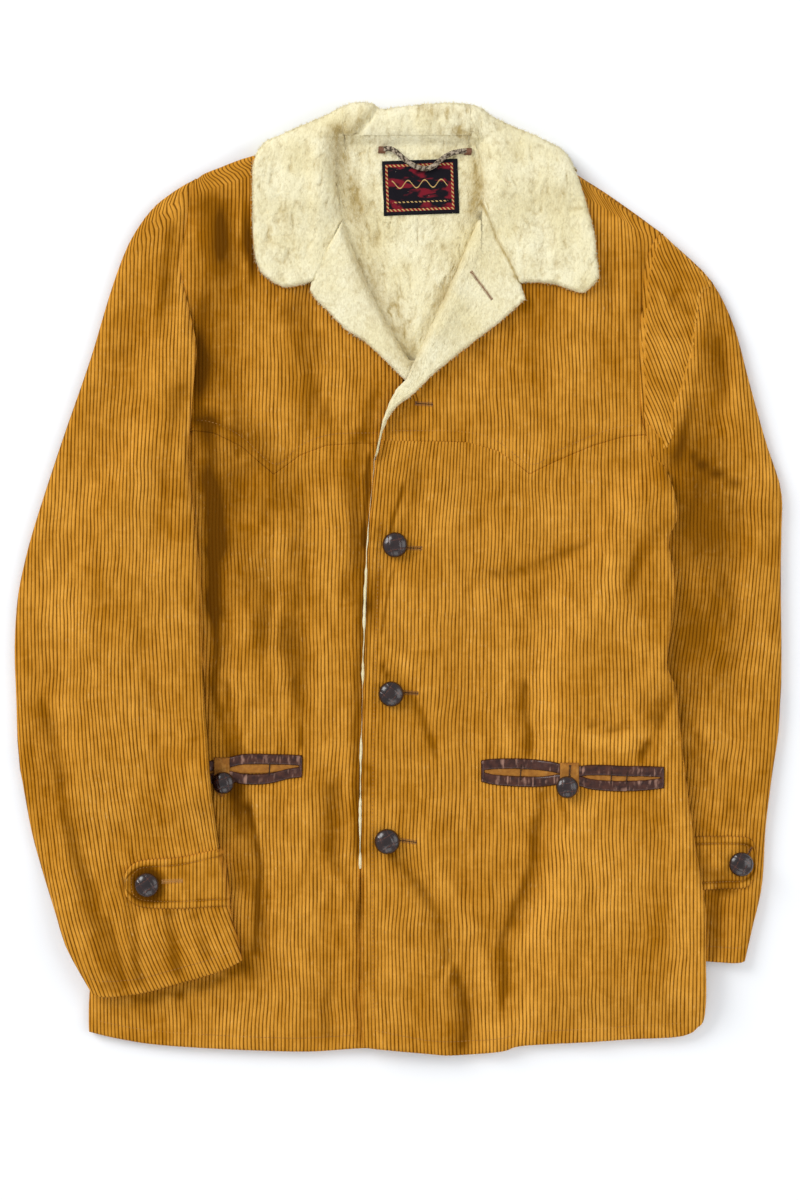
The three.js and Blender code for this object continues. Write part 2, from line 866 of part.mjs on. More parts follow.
const overRight = turnedOver(rightFrontHigh);
const overLeft = turnedOver(leftFrontHigh);

// The strip of pile that turns down over a roll line, as far as the lining below

function lip(rollPart, side, pileHigh) {
  const inner = shifted(rollPart, side * (rollInset - seamGap));
  return panel([...rollPart, ...backwards(inner)], liningLow, pileHigh);
}

const rightRollLine = flowing(rightRoll);
const leftRollLine = flowing(leftRoll);

function rollBetween(line, low, high) {
  return line.filter((point) => point.y > low && point.y < high);
}

function rollPoint(line, y) {
  return new THREE.Vector2(read(line, "y", y, "x"), y);
}

// Outlines of the two collar leaves

const rollOutline = flowing(collarRoll);
const rightCollarRoll = [
  rollPoint(rightRollLine, rightGorge),
  ...backwards(rollBetween(rightRollLine, rightGorge + 1, 500)),
];
const leftCollarRoll = [
  rollPoint(leftRollLine, leftGorge),
  ...backwards(rollBetween(leftRollLine, leftGorge + 1, 500)),
];
const rightLeafOutline = [
  ...flowing(rightLeafEdge),
  ...rightCollarRoll,
  ...backwards(rollOutline.filter((point) => point.x < -50)),
];
const leftLeafOutline = [
  ...flowing(leftLeafEdge),
  ...backwards(rollOutline.filter((point) => point.x > 66)),
  ...backwards(leftCollarRoll),
];

// Lapels, with the corduroy standing a little proud of the pile along the outer edge

function lapel(name, side, line, gorge, edge, tail, leaf, layers) {
  const start = rollPoint(line, gorge - 0.7);
  const rollPart = [start, ...rollBetween(line, 0, gorge - 2)];
  const turnRoll = shifted(rollPart, side * rollInset);
  const outer = backwards(points(edge));
  const turnOuter = shifted(outer, side * 0.7, -0.6);
  const turn = panel([...turnRoll, ...tail, ...turnOuter], layers.turnLow, layers.turnHigh);
  const facing = panel([...rollPart, ...tail, ...outer], layers.pileLow, layers.pileHigh);
  piece(`lapel_${name}_turn`, turn, corduroyFinish);
  const rolled = facing.add(lip(rollPart, side, layers.pileHigh));
  const besideLeaf = prism(shifted(leaf, -side * seamGap, -seamGap / 2));
  piece(`lapel_${name}_facing`, rolled.subtract(besideLeaf), sherpaFinish);
}

const leftLapelTail = shifted(points(leftFrontEdge).slice(0, 5), 0.2);
lapel("right", -1, rightRollLine, rightGorge, rightLapelEdge, [], rightLeafOutline, overRight);
lapel("left", 1, leftRollLine, leftGorge, leftLapelEdge, leftLapelTail, leftLeafOutline, overLeft);

// Collar: two leaves over the fronts, the stand between them, the roll round the neck,
// and the fall that lies behind the neck against the back

function standHigh(x, y) {
  const away = (y - standCrest.y) / standCrest.half;
  const arch = Math.max(0, 1 - away * away);
  const base = overRight.pileHigh(x, y) - facingPile;
  return base + (standCrest.high - base) * Math.sqrt(arch);
}

function rollHigh(x, y) {
  const middle = ramp(x, -75, -48) * ramp(-x, -88, -62);
  return THREE.MathUtils.lerp(overRight.pileHigh(x, y), standHigh(x, y), middle);
}

const neckTop = [
  ...shifted(flowing(rightShoulder).slice(7), 0, neckGap),
  new THREE.Vector2(-50, neckEdge + neckGap),
  new THREE.Vector2(61, neckEdge + neckGap),
  ...shifted(flowing(leftShoulder).slice(0, 10), 0, neckGap),
];
const roll = panel([...rollOutline, ...backwards(neckTop)], () => 0, rollHigh, smallCell);
const stand = panel([
  new THREE.Vector2(-55, standSeam + seamGap),
  new THREE.Vector2(66, standSeam + seamGap),
  ...backwards(rollOutline.filter((point) => point.x > -52 && point.x < 66)),
], liningLow, rollHigh, smallCell);
const fall = panel([...rollOutline, ...backwards(points(fallEdge).slice(1, -1))], () => 0, () => collarFall);
const rightLeaf = panel(rightLeafOutline, overRight.pileLow, overRight.pileHigh);
const leftLeaf = panel(leftLeafOutline, overLeft.pileLow, overLeft.pileHigh);
const collar = [
  roll,
  stand,
  fall,
  leftLeaf,
  lip(rightCollarRoll, -1, overRight.pileHigh),
  lip(leftCollarRoll, 1, overLeft.pileHigh),
].reduce((whole, part) => whole.add(part), rightLeaf);
piece("collar_top", collar, sherpaFinish);

const rightUnder = [
  ...shifted(flowing(rightLeafEdge), -0.7, -0.6),
  ...shifted(rightCollarRoll, -rollInset),
  ...shifted(backwards(flowing(rightShoulder).slice(6, 12)), 0, -1),
];
const leftUnder = [
  ...shifted(flowing(leftLeafEdge), 0.7, -0.6),
  ...shifted(backwards(flowing(leftShoulder).slice(1, 10)), 0, -1),
  ...shifted(backwards(leftCollarRoll), rollInset),
];
piece("collar_under_right", panel(rightUnder, overRight.turnLow, overRight.turnHigh), corduroyFinish);
piece("collar_under_left", panel(leftUnder, overLeft.turnLow, overLeft.turnHigh), corduroyFinish);

// Edge of the pile facing, which peeps out along the left front

const facingEdge = flowing(leftFrontEdge).filter((point) => point.y < 120 && point.y > -262);
const facingStrip = [...shifted(facingEdge, -seamGap), ...backwards(shifted(facingEdge, -2.6))];
piece(
  "front_left_facing_edge",
  panel(facingStrip, leftFrontLow, (x, y) => leftFrontLow(x, y) + 3.6),
  sherpaFinish,
);

// Pockets: two welts with the mouth between them, a tab over their middle and a button

function highestAround(place, radius, under) {
  const turns = [0, 1, 2, 3, 4, 5, 6, 7].map((step) => (step * Math.PI) / 4);
  return Math.max(...turns.map((turn) => {
    return under(place.x + radius * Math.cos(turn), place.y + radius * Math.sin(turn));
  }));
}

function button(name, place, size, under, finish) {
  const radius = size.diameter / 2;
  const underShank = highestAround(place, shank.diameter / 2, under);
  const underRim = highestAround(place, radius, under);
  const seat = Math.max(underShank, underRim - shank.height) + seamGap;
  const profile = [
    [0, 0],
    [shank.diameter / 2, 0],
    [shank.diameter / 2, shank.height],
    [radius * 0.8, shank.height + 0.3],
    [radius, size.height * 0.38],
    [radius * 0.93, size.height * 0.64],
    [radius * 0.66, size.height * 0.88],
    [radius * 0.3, size.height * 0.985],
    [0, size.height],
  ].map(([x, y]) => new THREE.Vector2(x, y));
  const geometry = new THREE.LatheGeometry(profile, 16);
  geometry.rotateX(Math.PI / 2);
  const mesh = piece(name, geometry, finish);
  mesh.position.set(place.x, place.y, seat);
}

function welt(rows, column) {
  const half = weltWidth / 2;
  const upper = rows.map((row) => new THREE.Vector2(row.x, row[column] + half));
  const lower = rows.map((row) => new THREE.Vector2(row.x, row[column] - half));
  return [...upper, ...backwards(lower)];
}

function pocket(name, rows, tab, front) {
  const top = restingOn([front]);
  const weltLow = (x, y) => top(x, y) + seamGap;
  const weltHigh = (x, y) => weltLow(x, y) + leather;
  const tabLow = (x, y) => weltHigh(x, y) + seamGap;
  const tabHigh = (x, y) => tabLow(x, y) + leather;
  for (const column of ["upper", "lower"]) {
    const strap = panel(welt(rows, column), weltLow, weltHigh, smallCell);
    piece(`pocket_${name}_welt_${column}`, strap, leatherFinish);
  }
  const middle = (tab.left + tab.right) / 2;
  const tabOutline = [
    new THREE.Vector2(tab.left, tab.top),
    new THREE.Vector2(tab.right, tab.top),
    new THREE.Vector2(tab.right, tab.bottom + 6),
    new THREE.Vector2(middle, tab.bottom),
    new THREE.Vector2(tab.left, tab.bottom + 6),
  ];
  const strip = piece(`pocket_${name}_tab`, panel(tabOutline, tabLow, tabHigh, smallCell), leatherFinish);
  button(`pocket_${name}_button`, tab.button, pocketButton, restingOn([strip, front]), leatherFinish);
}

pocket("left", leftPocket, pocketTabs.left, leftPanel);
pocket("right", rightPocket, pocketTabs.right, rightPanel);

// Front buttons, on the left front over the button stand of the right one

frontButtons.forEach((place, n) => {
  button(`front_button_${n + 1}`, place, frontButton, restingOn([leftPanel]), leatherFinish);
});

// Cuff tabs and their buttons

function cuffTab(name, rows, place, under) {
  const top = restingOn([under]);
  const low = (x, y) => top(x, y) + seamGap;
  const high = (x, y) => low(x, y) + tabCloth;
  const tab = piece(`cuff_tab_${name}`, panel(points(rows), low, high, smallCell), corduroyFinish);
  button(`cuff_button_${name}`, place, cuffButton, restingOn([tab, under]), leatherFinish);
}

cuffTab("right", rightCuffTab, cuffButtons.right, rightSleeve);
cuffTab("left", leftCuffTab, cuffButtons.left, leftSleeve);

// Neck label

const labelOutline = [[-1, -1], [1, -1], [1, 1], [-1, 1]].map(([u, v]) => {
  const corner = new THREE.Vector2((u * label.width) / 2, (v * label.height) / 2);
  corner.rotateAround(new THREE.Vector2(0, 0), THREE.MathUtils.degToRad(label.tilt));
  return corner.add(new THREE.Vector2(label.x, label.y));
});
const labelLow = (x, y) => liningHigh(x, y) + seamGap;
piece("neck_label", panel(labelOutline, labelLow, (x, y) => labelLow(x, y) + label.thick), labelFinish);

// Hanger loop and its tacks

const loopPath = new THREE.CatmullRomCurve3(loopRoute.map((row) => new THREE.Vector3(row.x, row.y, row.z)));
const loopSection = new THREE.Shape();
for (let side = 0; side < loopSides; side += 1) {
  const turn = (2 * Math.PI * side) / loopSides;
  const x = (loopDiameter / 2) * Math.cos(turn);
  const y = (loopDiameter / 2) * Math.sin(turn);
  if (side === 0) loopSection.moveTo(x, y);
  else loopSection.lineTo(x, y);
}
loopSection.closePath();
const loopTube = new THREE.ExtrudeGeometry(loopSection, {
  steps: loopSteps,
  extrudePath: loopPath,
  curveSegments: 1,
});
piece("hanger_loop", loopTube, cordFinish);

for (const [name, place] of Object.entries(loopTacks)) {
  const block = new THREE.BoxGeometry(loopTack.length, loopTack.width, loopTack.high);
  const mesh = piece(`loop_tack_${name}`, block, tackFinish);
  const seat = restingOn([lining])(place.x, place.y) + seamGap;
  mesh.position.set(place.x, place.y, seat + loopTack.high / 2);
}

export default jacket;
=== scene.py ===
import math

import bmesh
import bpy
import numpy as np
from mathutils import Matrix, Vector
from mathutils.bvhtree import BVHTree


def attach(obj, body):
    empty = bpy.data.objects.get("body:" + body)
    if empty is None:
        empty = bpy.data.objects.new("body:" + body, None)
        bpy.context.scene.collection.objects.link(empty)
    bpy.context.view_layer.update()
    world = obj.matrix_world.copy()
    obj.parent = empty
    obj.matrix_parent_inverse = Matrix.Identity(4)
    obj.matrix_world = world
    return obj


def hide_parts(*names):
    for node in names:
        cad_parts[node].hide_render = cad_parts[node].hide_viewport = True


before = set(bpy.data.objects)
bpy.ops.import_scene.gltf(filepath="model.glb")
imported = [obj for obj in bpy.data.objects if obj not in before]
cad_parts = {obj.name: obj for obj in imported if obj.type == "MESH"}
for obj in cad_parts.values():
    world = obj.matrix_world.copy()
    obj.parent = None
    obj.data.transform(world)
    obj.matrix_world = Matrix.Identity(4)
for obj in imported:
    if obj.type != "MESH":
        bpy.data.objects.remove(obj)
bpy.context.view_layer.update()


# Camera, straight above the jacket, which lies on its back on a pale table.
# One pixel of the 800 by 1200 frame is 0.9 mm at the height of the cloth.

frame_long_side = 1200
pixel = 0.0009
view_x, view_y = 0.0, -0.018
camera_height = 2.5
cloth_height = 0.015

camera_data = bpy.data.cameras.new("camera")
camera_data.sensor_width = 36
camera_data.lens = camera_data.sensor_width * camera_height / (pixel * frame_long_side)
camera = bpy.data.objects.new("camera", camera_data)
camera.location = (view_x, view_y, camera_height + cloth_height)
bpy.context.collection.objects.link(camera)
bpy.context.scene.camera = camera
bpy.context.scene.view_settings.view_transform = "Standard"


# Studio: a plain white table and soft panels of light, the main one at the
# upper left, as the shadows beside the sleeve and inside the collar show.

table_size = 14
table_clear = 0.0006
table_colour = (0.955, 0.965, 0.975, 1)
room_colour = (0.93, 0.96, 1.0, 1)
room_strength = 0.56
softboxes = [
    # place, size, watts
    ((-3.6, 2.6, 2.9), 2.8, 185),
    ((3.2, 0.2, 2.8), 3.0, 48),
    ((0.3, -3.6, 2.8), 2.8, 34),
]


def feed(tree, node, values):
    """Feeds the inputs of a node, with sockets or with plain values."""
    for name, value in values.items():
        value = getattr(value, "socket", value)
        if isinstance(value, bpy.types.NodeSocket):
            tree.links.new(value, node.inputs[name])
        else:
            node.inputs[name].default_value = value


def wire(tree, kind, values=(), **settings):
    """A shader node with its settings and what is fed to it."""
    made = tree.nodes.new("ShaderNode" + kind)
    for name, value in settings.items():
        setattr(made, name, value)
    feed(tree, made, dict(values))
    return made


def plain_material(name):
    """A new material, its node tree and its shader."""
    material = bpy.data.materials.new(name)
    material.use_nodes = True
    return material, material.node_tree, material.node_tree.nodes["Principled BSDF"]


def shown(name, sheet, material):
    """An object made from a bmesh, at the origin, with its material."""
    mesh = bpy.data.meshes.new(name)
    sheet.to_mesh(mesh)
    sheet.free()
    mesh.materials.append(material)
    mesh.polygons.foreach_set("use_smooth", [True] * len(mesh.polygons))
    obj = bpy.data.objects.new(name, mesh)
    bpy.context.collection.objects.link(obj)
    return obj


table_finish, tree, shader = plain_material("table_white")
paper = wire(tree, "TexNoise", {"Scale": 40.0, "Detail": 4.0}).outputs["Fac"]
paper_grain = wire(tree, "Bump", {"Height": paper, "Strength": 0.02}).outputs[0]
feed(tree, shader, {"Base Color": table_colour, "Roughness": 0.8, "Normal": paper_grain})
table_mesh = bmesh.new()
bmesh.ops.create_grid(table_mesh, x_segments=4, y_segments=4, size=table_size / 2)
bmesh.ops.translate(table_mesh, vec=(0, 0, -table_clear), verts=table_mesh.verts)
table = shown("table", table_mesh, table_finish)

for place, size, watts in softboxes:
    panel_light = bpy.data.lights.new("softbox", "AREA")
    panel_light.size = size
    panel_light.energy = watts
    softbox = bpy.data.objects.new("softbox", panel_light)
    softbox.location = place
    softbox.rotation_euler = (-Vector(place)).to_track_quat("-Z", "Y").to_euler()
    bpy.context.collection.objects.link(softbox)

room = bpy.data.worlds.new("room")
room.use_nodes = True
feed(room.node_tree, room.node_tree.nodes["Background"], {"Color": room_colour, "Strength": room_strength})
bpy.context.scene.world = room


# Hanger loop: a grey brown cord of three twisted strands, laid across the top
# of the label and caught down at both ends under bars of red brown thread.

MM = 0.001
loop_route = [
    # x, y, z in mm
    (-14.5, 387.5, 16.8),
    (-9, 388, 16.8),
    (-3.5, 385, 17),
    (2.5, 379.5, 17.9),
    (9, 374.5, 18),
    (16, 371, 18),
    (23.5, 369.8, 18),
    (30, 372, 18),
    (36, 377, 18),
    (42, 381.5, 17.7),
    (49, 384.5, 16.9),
    (57, 385.8, 16.8),
    (59.5, 385.8, 16.8),
]
strand_count = 3
strand_offset = 1.45
strand_radius = 0.98
strand_twist = 5.2
loop_steps = 150
tack_length, tack_width, tack_height = 5.6, 5.6, 3.2
tack_turns, tack_foot, tack_slant, tack_thread = 9, 14.4, 0.2, 0.55
tack_places = {"right": (-16.2, 387.2), "left": (61.2, 385.6)}


def flowing(rows, steps=6):
    """A smooth line through the rows of a table."""
    rows = np.array([rows[0], *rows, rows[-1]], dtype=float)
    t = np.linspace(0, 1, steps, endpoint=False)[:, None]
    parts = []
    for a, b, c, d in zip(rows, rows[1:], rows[2:], rows[3:]):
        bend = (2 * a - 5 * b + 4 * c - d) * t**2 + (3 * b - a - 3 * c + d) * t**3
        parts.append(0.5 * (2 * b + (c - a) * t + bend))
    return np.vstack([*parts, rows[-1:]])


def lengths_of(line):
    """How far each point of a line is from its start."""
    return np.concatenate([[0], np.cumsum(np.linalg.norm(np.diff(line, axis=0), axis=1))])


def grid_of(columns, rows):
    """A grid in a bmesh, with the column and the row of each vertex."""
    sheet = bmesh.new()
    bmesh.ops.create_grid(sheet, x_segments=columns, y_segments=rows, size=0.5)
    flat = np.array([vertex.co[:2] for vertex in sheet.verts]) + 0.5
    column = np.rint(flat[:, 0] * columns).astype(int)
    row = np.rint(flat[:, 1] * rows).astype(int)
    return sheet, column, row


def place_points(sheet, points, attributes=()):
    """Moves the vertices to points in mm and writes named values on them."""
    for vertex, point in zip(sheet.verts, points * MM):
        vertex.co = point
    for name, values in dict(attributes).items():
        layer = sheet.verts.layers.float.new(name)
        for vertex, value in zip(sheet.verts, values):
            vertex[layer] = value


def tube_along(line, radius_at, sides):
    """A closed tube in a bmesh round a line in mm, with its length on it."""
    line = np.asarray(line, dtype=float)
    sheet, step, side = grid_of(len(line) - 1, sides)
    heading = np.gradient(line, axis=0)
    heading /= np.linalg.norm(heading, axis=1)[:, None]
    aside = np.cross(heading, (0, 0, 1))
    aside /= np.linalg.norm(aside, axis=1)[:, None]
    above = np.cross(aside, heading)
    turn = 2 * np.pi * side / sides
    radius = np.broadcast_to(radius_at, len(line))[step][:, None]
    ring = aside[step] * np.cos(turn)[:, None] + above[step] * np.sin(turn)[:, None]
    place_points(sheet, line[step] + ring * radius, {"along": lengths_of(line)[step]})
    bmesh.ops.remove_doubles(sheet, verts=sheet.verts, dist=1e-6)
    bmesh.ops.holes_fill(sheet, edges=[edge for edge in sheet.edges if edge.is_boundary])
    bmesh.ops.recalc_face_normals(sheet, faces=sheet.faces)
    return sheet


def fixed(piece, node):
    """Fastens a piece to the jacket, in the place of a node, which it hides."""
    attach(piece, "root")
    if node:
        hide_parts(node)
    return piece


def joined(parts):
    """One bmesh from several."""
    whole = bmesh.new()
    for part in parts:
        held = bpy.data.meshes.new("held")
        part.to_mesh(held)
        part.free()
        whole.from_mesh(held)
        bpy.data.meshes.remove(held)
    return whole


class Level:
    """A number in a shader, so that sums with it are written out plainly."""

    def __init__(self, tree, socket):
        self.tree, self.socket = tree, socket

    def by(self, operation, *others, first=None):
        """The outcome of one of the shader's sums."""
        values = (self, *others) if first is None else (first, self)
        made = wire(self.tree, "Math", dict(enumerate(values)), operation=operation)
        return Level(self.tree, made.outputs[0])

    def spread(self, low, high):
        """The level stretched from low and high to 0 and 1, and held there."""
        made = wire(self.tree, "MapRange", {"Value": self, "From Min": low, "From Max": high})
        return Level(self.tree, made.outputs["Result"])

    def __add__(self, other):
        return self.by("ADD", other)

    def __sub__(self, other):
        return self.by("SUBTRACT", other)

    def __rsub__(self, other):
        return self.by("SUBTRACT", first=other)

    def __mul__(self, other):
        return self.by("MULTIPLY", other)

    def __abs__(self):
        return self.by("ABSOLUTE")


def noise(tree, place, scale, detail, **more):
    """Soft clouds in a shader, at places given by a vector."""
    values = {"Vector": place, "Scale": scale, "Detail": detail, **more}
    return Level(tree, wire(tree, "TexNoise", values).outputs["Fac"])


def grained(tree, height, strength, distance):
    """The normal of a surface raised by a height."""
    return wire(tree, "Bump", {"Height": height, "Strength": strength, "Distance": distance}).outputs[0]


def toned(tree, level, low, high, ends=(0.0, 1.0)):
    """A colour between two, by a level between two ends."""
    tone = wire(tree, "ValToRGB", {"Fac": level})
    for stop, position, colour in zip(tone.color_ramp.elements, ends, (low, high)):
        stop.position, stop.color = position, colour
    return tone.outputs[0]


loop_finish, tree, shader = plain_material("twisted_cord")
place = wire(tree, "TexCoord").outputs["Object"]
feed(tree, shader, {
    "Base Color": toned(
        tree, noise(tree, place, 420.0, 2.0), (0.07, 0.05, 0.032, 1), (0.46, 0.38, 0.28, 1), (0.42, 0.58),
    ),
    "Normal": grained(tree, noise(tree, place, 900.0, 3.0), 0.6, 0.0005),
    "Roughness": 0.8,
    "Specular IOR Level": 0.1,
})

route = flowing(loop_route, 8)
route_length = lengths_of(route)
loop_line = np.column_stack([
    np.interp(np.linspace(0, route_length[-1], loop_steps), route_length, route[:, axis])
    for axis in range(3)
])
heading = np.gradient(loop_line, axis=0)
heading /= np.linalg.norm(heading, axis=1)[:, None]
aside = np.cross(heading, (0, 0, 1))
above = np.cross(aside, heading)
strands = []
for strand in range(strand_count):
    turn = 2 * np.pi * (lengths_of(loop_line) / strand_twist + strand / strand_count)
    spoke = aside * np.cos(turn)[:, None] + above * np.sin(turn)[:, None]
    strands.append(tube_along(loop_line + strand_offset * spoke, strand_radius, 8))
loop = fixed(shown("hanger_cord", joined(strands), loop_finish), "hanger_loop")

tack_finish, tree, shader = plain_material("tack_thread")
place = wire(tree, "TexCoord").outputs["Object"]
thread_tone = toned(tree, noise(tree, place, 1300.0, 3.0), (0.07, 0.025, 0.012, 1), (0.30, 0.12, 0.055, 1))
feed(tree, shader, {"Base Color": thread_tone, "Roughness": 0.6})

for side, (x, y) in tack_places.items():
    rows = []
    bow = np.linspace(-1, 1, tack_turns)
    for n in range(tack_turns):
        across = x + (n / (tack_turns - 1) - 0.5) * tack_length
        high = tack_foot + tack_height * np.sqrt(np.clip(1 - bow**2, 0, 1))
        line = np.column_stack([across + tack_slant * bow, y + bow * tack_width / 2, high])
        rows.append(tube_along(line, tack_thread, 6))
    fixed(shown(f"bar_tack_{side}", joined(rows), tack_finish), f"loop_tack_{side}")

float(lengths_of(loop_line)[-1] * MM)


# Back of the jacket: one wide piece of corduroy with its pile lining, 5 mm
# together, flat on the table but for where it climbs over the left sleeve.

seam_gap = 0.4
body_wall = 5.0
sleeve_under_body = 13.1
fall_under_back = 5.4
front_over_front = 5.4

wale_pitch = 3.25
wale_relief = 0.5
cloth_thickness = 1.3

right_shoulder = [(-198, 354), (-184, 362), (-165, 371), (-131, 383.5), (-90, 394), (-58, 400)]
left_shoulder = [(69, 400), (94, 395), (126, 383), (149, 372), (180, 354), (216, 329), (237, 313)]
right_armhole = [
    (-188, 137), (-187, 173), (-183, 209), (-190, 245), (-197, 276), (-195, 297), (-190, 328), (-184, 362),
]
left_armhole = [
    (234, 114), (220, 144), (218, 185), (218, 229), (223, 250), (221, 266), (227, 296), (237, 313),
]
right_side = [
    (-281, -412), (-281, -380), (-277, -333), (-266, -198), (-257, -63), (-249, 18), (-237, 63), (-216, 99),
    (-199, 120), (-189, 137),
]
left_side = [
    (257, -414), (268, -405), (275, -392), (275, -338), (275, -299), (269, -259), (262, -216), (255, -161),
    (251, -125), (248, -97), (240, -77), (242, -56), (247, -8), (245, 15), (241, 36), (249, 54), (247, 77),
    (240, 99), (234, 114),
]
right_hem = [(-281, -408), (-256, -414), (-218, -420), (-153, -424), (-85, -426), (-34, -423), (4, -424)]
left_hem = [
    (-36, -419), (-28, -422), (22, -427), (53, -429), (92, -426), (110, -421), (161, -418), (207, -415),
    (255, -412), (276, -400),
]
fall_edge = [
    (-170, 440), (-131, 378), (-90, 369), (-45, 362), (9, 358), (63, 362), (108, 371), (149, 384), (190, 440),
]
sleeve_inner_edge = [
    (171, -310), (174, -180), (180, -72), (188, -18), (206, 18), (222, 40), (232, 58), (238, 72), (310, 130),
]


def ramp(value, low, high):
    """A smooth step from 0 to 1."""
    share = np.clip((value - low) / (high - low), 0, 1)
    return share * share * (3 - 2 * share)


def x_on(line, y):
    """Where a line that climbs is, at a height on it."""
    line = np.asarray(line, dtype=float)
    line = line[np.argsort(line[:, 1], kind="stable")]
    return np.interp(y, line[:, 1], line[:, 0])


def y_on(line, x):
    """The height of a line that runs across, at a place on it."""
    line = np.asarray(line, dtype=float)
    line = line[np.argsort(line[:, 0], kind="stable")]
    return np.interp(x, line[:, 0], line[:, 1])


def drift(x, y, size, seed):
    """Soft uneven heights from -1 to 1, with bumps about size mm apart."""
    table = np.random.default_rng(seed).uniform(-1, 1, (97, 97))
    u, v = np.asarray(x) / size, np.asarray(y) / size
    i, j = np.floor(u).astype(int), np.floor(v).astype(int)
    p, q = ramp(u - i, 0, 1), ramp(v - j, 0, 1)
    lower = table[i % 97, j % 97] * (1 - p) + table[(i + 1) % 97, j % 97] * p
    upper = table[i % 97, (j + 1) % 97] * (1 - p) + table[(i + 1) % 97, (j + 1) % 97] * p
    return lower * (1 - q) + upper * q


def back_low(x, y):
    edge = x_on(sleeve_inner_edge, y)
    over_sleeve = ramp(x, edge - 62, edge - 14) * ramp(y, -415, -362)
    behind_fall = 1 - ramp(y_on(fall_edge, x) - y, 14, 60)
    return sleeve_under_body * over_sleeve + fall_under_back * behind_fall


def back_high(x, y):
    return back_low(x, y) + body_wall


def stations(length, step, fine=(0, 0.35, 1, 2, 3.4, 5.5, 9)):
    """Shares of a length, closer together near its two ends."""
    fine = np.array(fine)
    middle = np.arange(fine[-1] + step, length - fine[-1] - step / 2, step)
    return np.concatenate([fine, middle, length - fine[::-1]]) / length


def rim_drop(depth, reach, drop):
    """How far a rounded edge falls, at a depth inside it."""
    inside = np.clip(1 - depth / reach, 0, 1)
    return drop * (1 - np.sqrt(1 - inside**2))


def wale_height(wale):
    """Height of the ribs over the grooves between them."""
    return wale_relief * (np.abs(np.sin(np.pi * wale)) ** 0.6 - 1)


def cut_cloth(spacing, left, right, low, high, shares, rims):
    """A cut piece of cloth on a grid whose columns follow the ribs.

    left and right give the sides at a height, low and high the ends of a
    column. rims holds reach and drop of the rounding at each of the four.
    Returns the bmesh, the places on the cloth, the fall of the rim, and the
    faces outside the cut, which trimmed takes away."""
    near = np.linspace(-450, 450, 400)
    first = math.floor(min(left(near)) / spacing)
    last = math.ceil(max(right(near)) / spacing)
    sheet, column, row = grid_of(last - first, len(shares) - 1)
    place = (first + column) * spacing
    start, end = low(place), high(place)
    along = start + (end - start) * np.asarray(shares)[row]
    left_edge, right_edge = left(along), right(along)
    across = np.clip(place, left_edge, np.maximum(left_edge, right_edge))
    depths = [across - left_edge, right_edge - across, along - start, end - along]
    fall = np.max([rim_drop(depth, *rim) for depth, rim in zip(depths, rims)], axis=0)
    outside = (place < left_edge - 1e-6) | (place > right_edge + 1e-6)
    for vertex, out in zip(sheet.verts, outside):
        vertex.tag = bool(out)
    lost = [face for face in sheet.faces if all(vertex.tag for vertex in face.verts)]
    return sheet, across, along, fall, lost


def trimmed(sheet, lost):
    """Takes away the faces that fell outside the cut."""
    bmesh.ops.delete(sheet, geom=lost, context="FACES")
    bmesh.ops.remove_doubles(sheet, verts=sheet.verts, dist=2e-5)
    return sheet


def turned_down(sheet):
    """Makes a sheet an under side."""
    bmesh.ops.reverse_faces(sheet, faces=sheet.faces)
    return sheet


def cloth_piece(name, sheet, material, node, thickness=cloth_thickness):
    """A finished piece of cloth, with its thickness downwards from its face."""
    piece = shown(name, sheet, material)
    wall = piece.modifiers.new("thickness", "SOLIDIFY")
    wall.thickness = thickness * MM
    wall.offset = -1
    wall.use_even_offset = False
    return fixed(piece, node)


# Corduroy nap. Its third input carries painted light and shade: troughs, creases, stitched channels and cast
# shadows darker, ridges and folded edges lighter, with some broad tone of the nap itself.
nap = bpy.data.node_groups.new("corduroy_nap", "ShaderNodeTree")
for label, kind in [("Wale", "NodeSocketFloat"), ("Along", "NodeSocketFloat"), ("Painted_light_and_tone", "NodeSocketFloat")]:
    nap.interface.new_socket(label, in_out="INPUT", socket_type=kind)
nap.interface.new_socket("Colour", in_out="OUTPUT", socket_type="NodeSocketColor")
nap.interface.new_socket("Height", in_out="OUTPUT", socket_type="NodeSocketFloat")
nap.interface.new_socket("Roughness", in_out="OUTPUT", socket_type="NodeSocketFloat")
given = nap.nodes.new("NodeGroupInput").outputs
wale, along, painted_light_and_tone = [Level(nap, given[label]) for label in ("Wale", "Along", "Painted_light_and_tone")]
cloth_place = wire(nap, "CombineXYZ", {"X": wale * wale_pitch, "Y": along}).outputs[0]

worn_colour = (0.86, 0.52, 0.17, 1)
crest_colour = (0.79, 0.37, 0.050, 1)
middle_colour = (0.42, 0.157, 0.004, 1)
groove_ground_and_shade_colour = (0.115, 0.036, 0.0005, 1)
painted_shade_colour = (0.085, 0.028, 0.001, 1)


def blend_of(tree, share, low, high):
    """A mix of two colours."""
    return wire(tree, "Mix", {0: share, 6: low, 7: high}, data_type="RGBA").outputs[2]


def nap_noise(per_mm, detail, turn=0.0, **more):
    """Clouds on the cloth, so many a millimetre across and along its ribs."""
    values = {"Vector": cloth_place, "Scale": (*per_mm, 1), "Rotation": (0, 0, turn)}
    return noise(nap, wire(nap, "Mapping", values).outputs[0], 1.0, detail, **more)


streaks = nap_noise((0.30, 0.030), 3.0)
patches = nap_noise((0.020, 0.013), 4.0, Roughness=0.62)
hairs = nap_noise((2.2, 0.9), 4.0)
brushed = nap_noise((0.05, 0.09), 4.0, 0.6, Distortion=0.8)
flecks = nap_noise((0.55, 0.14), 5.0)
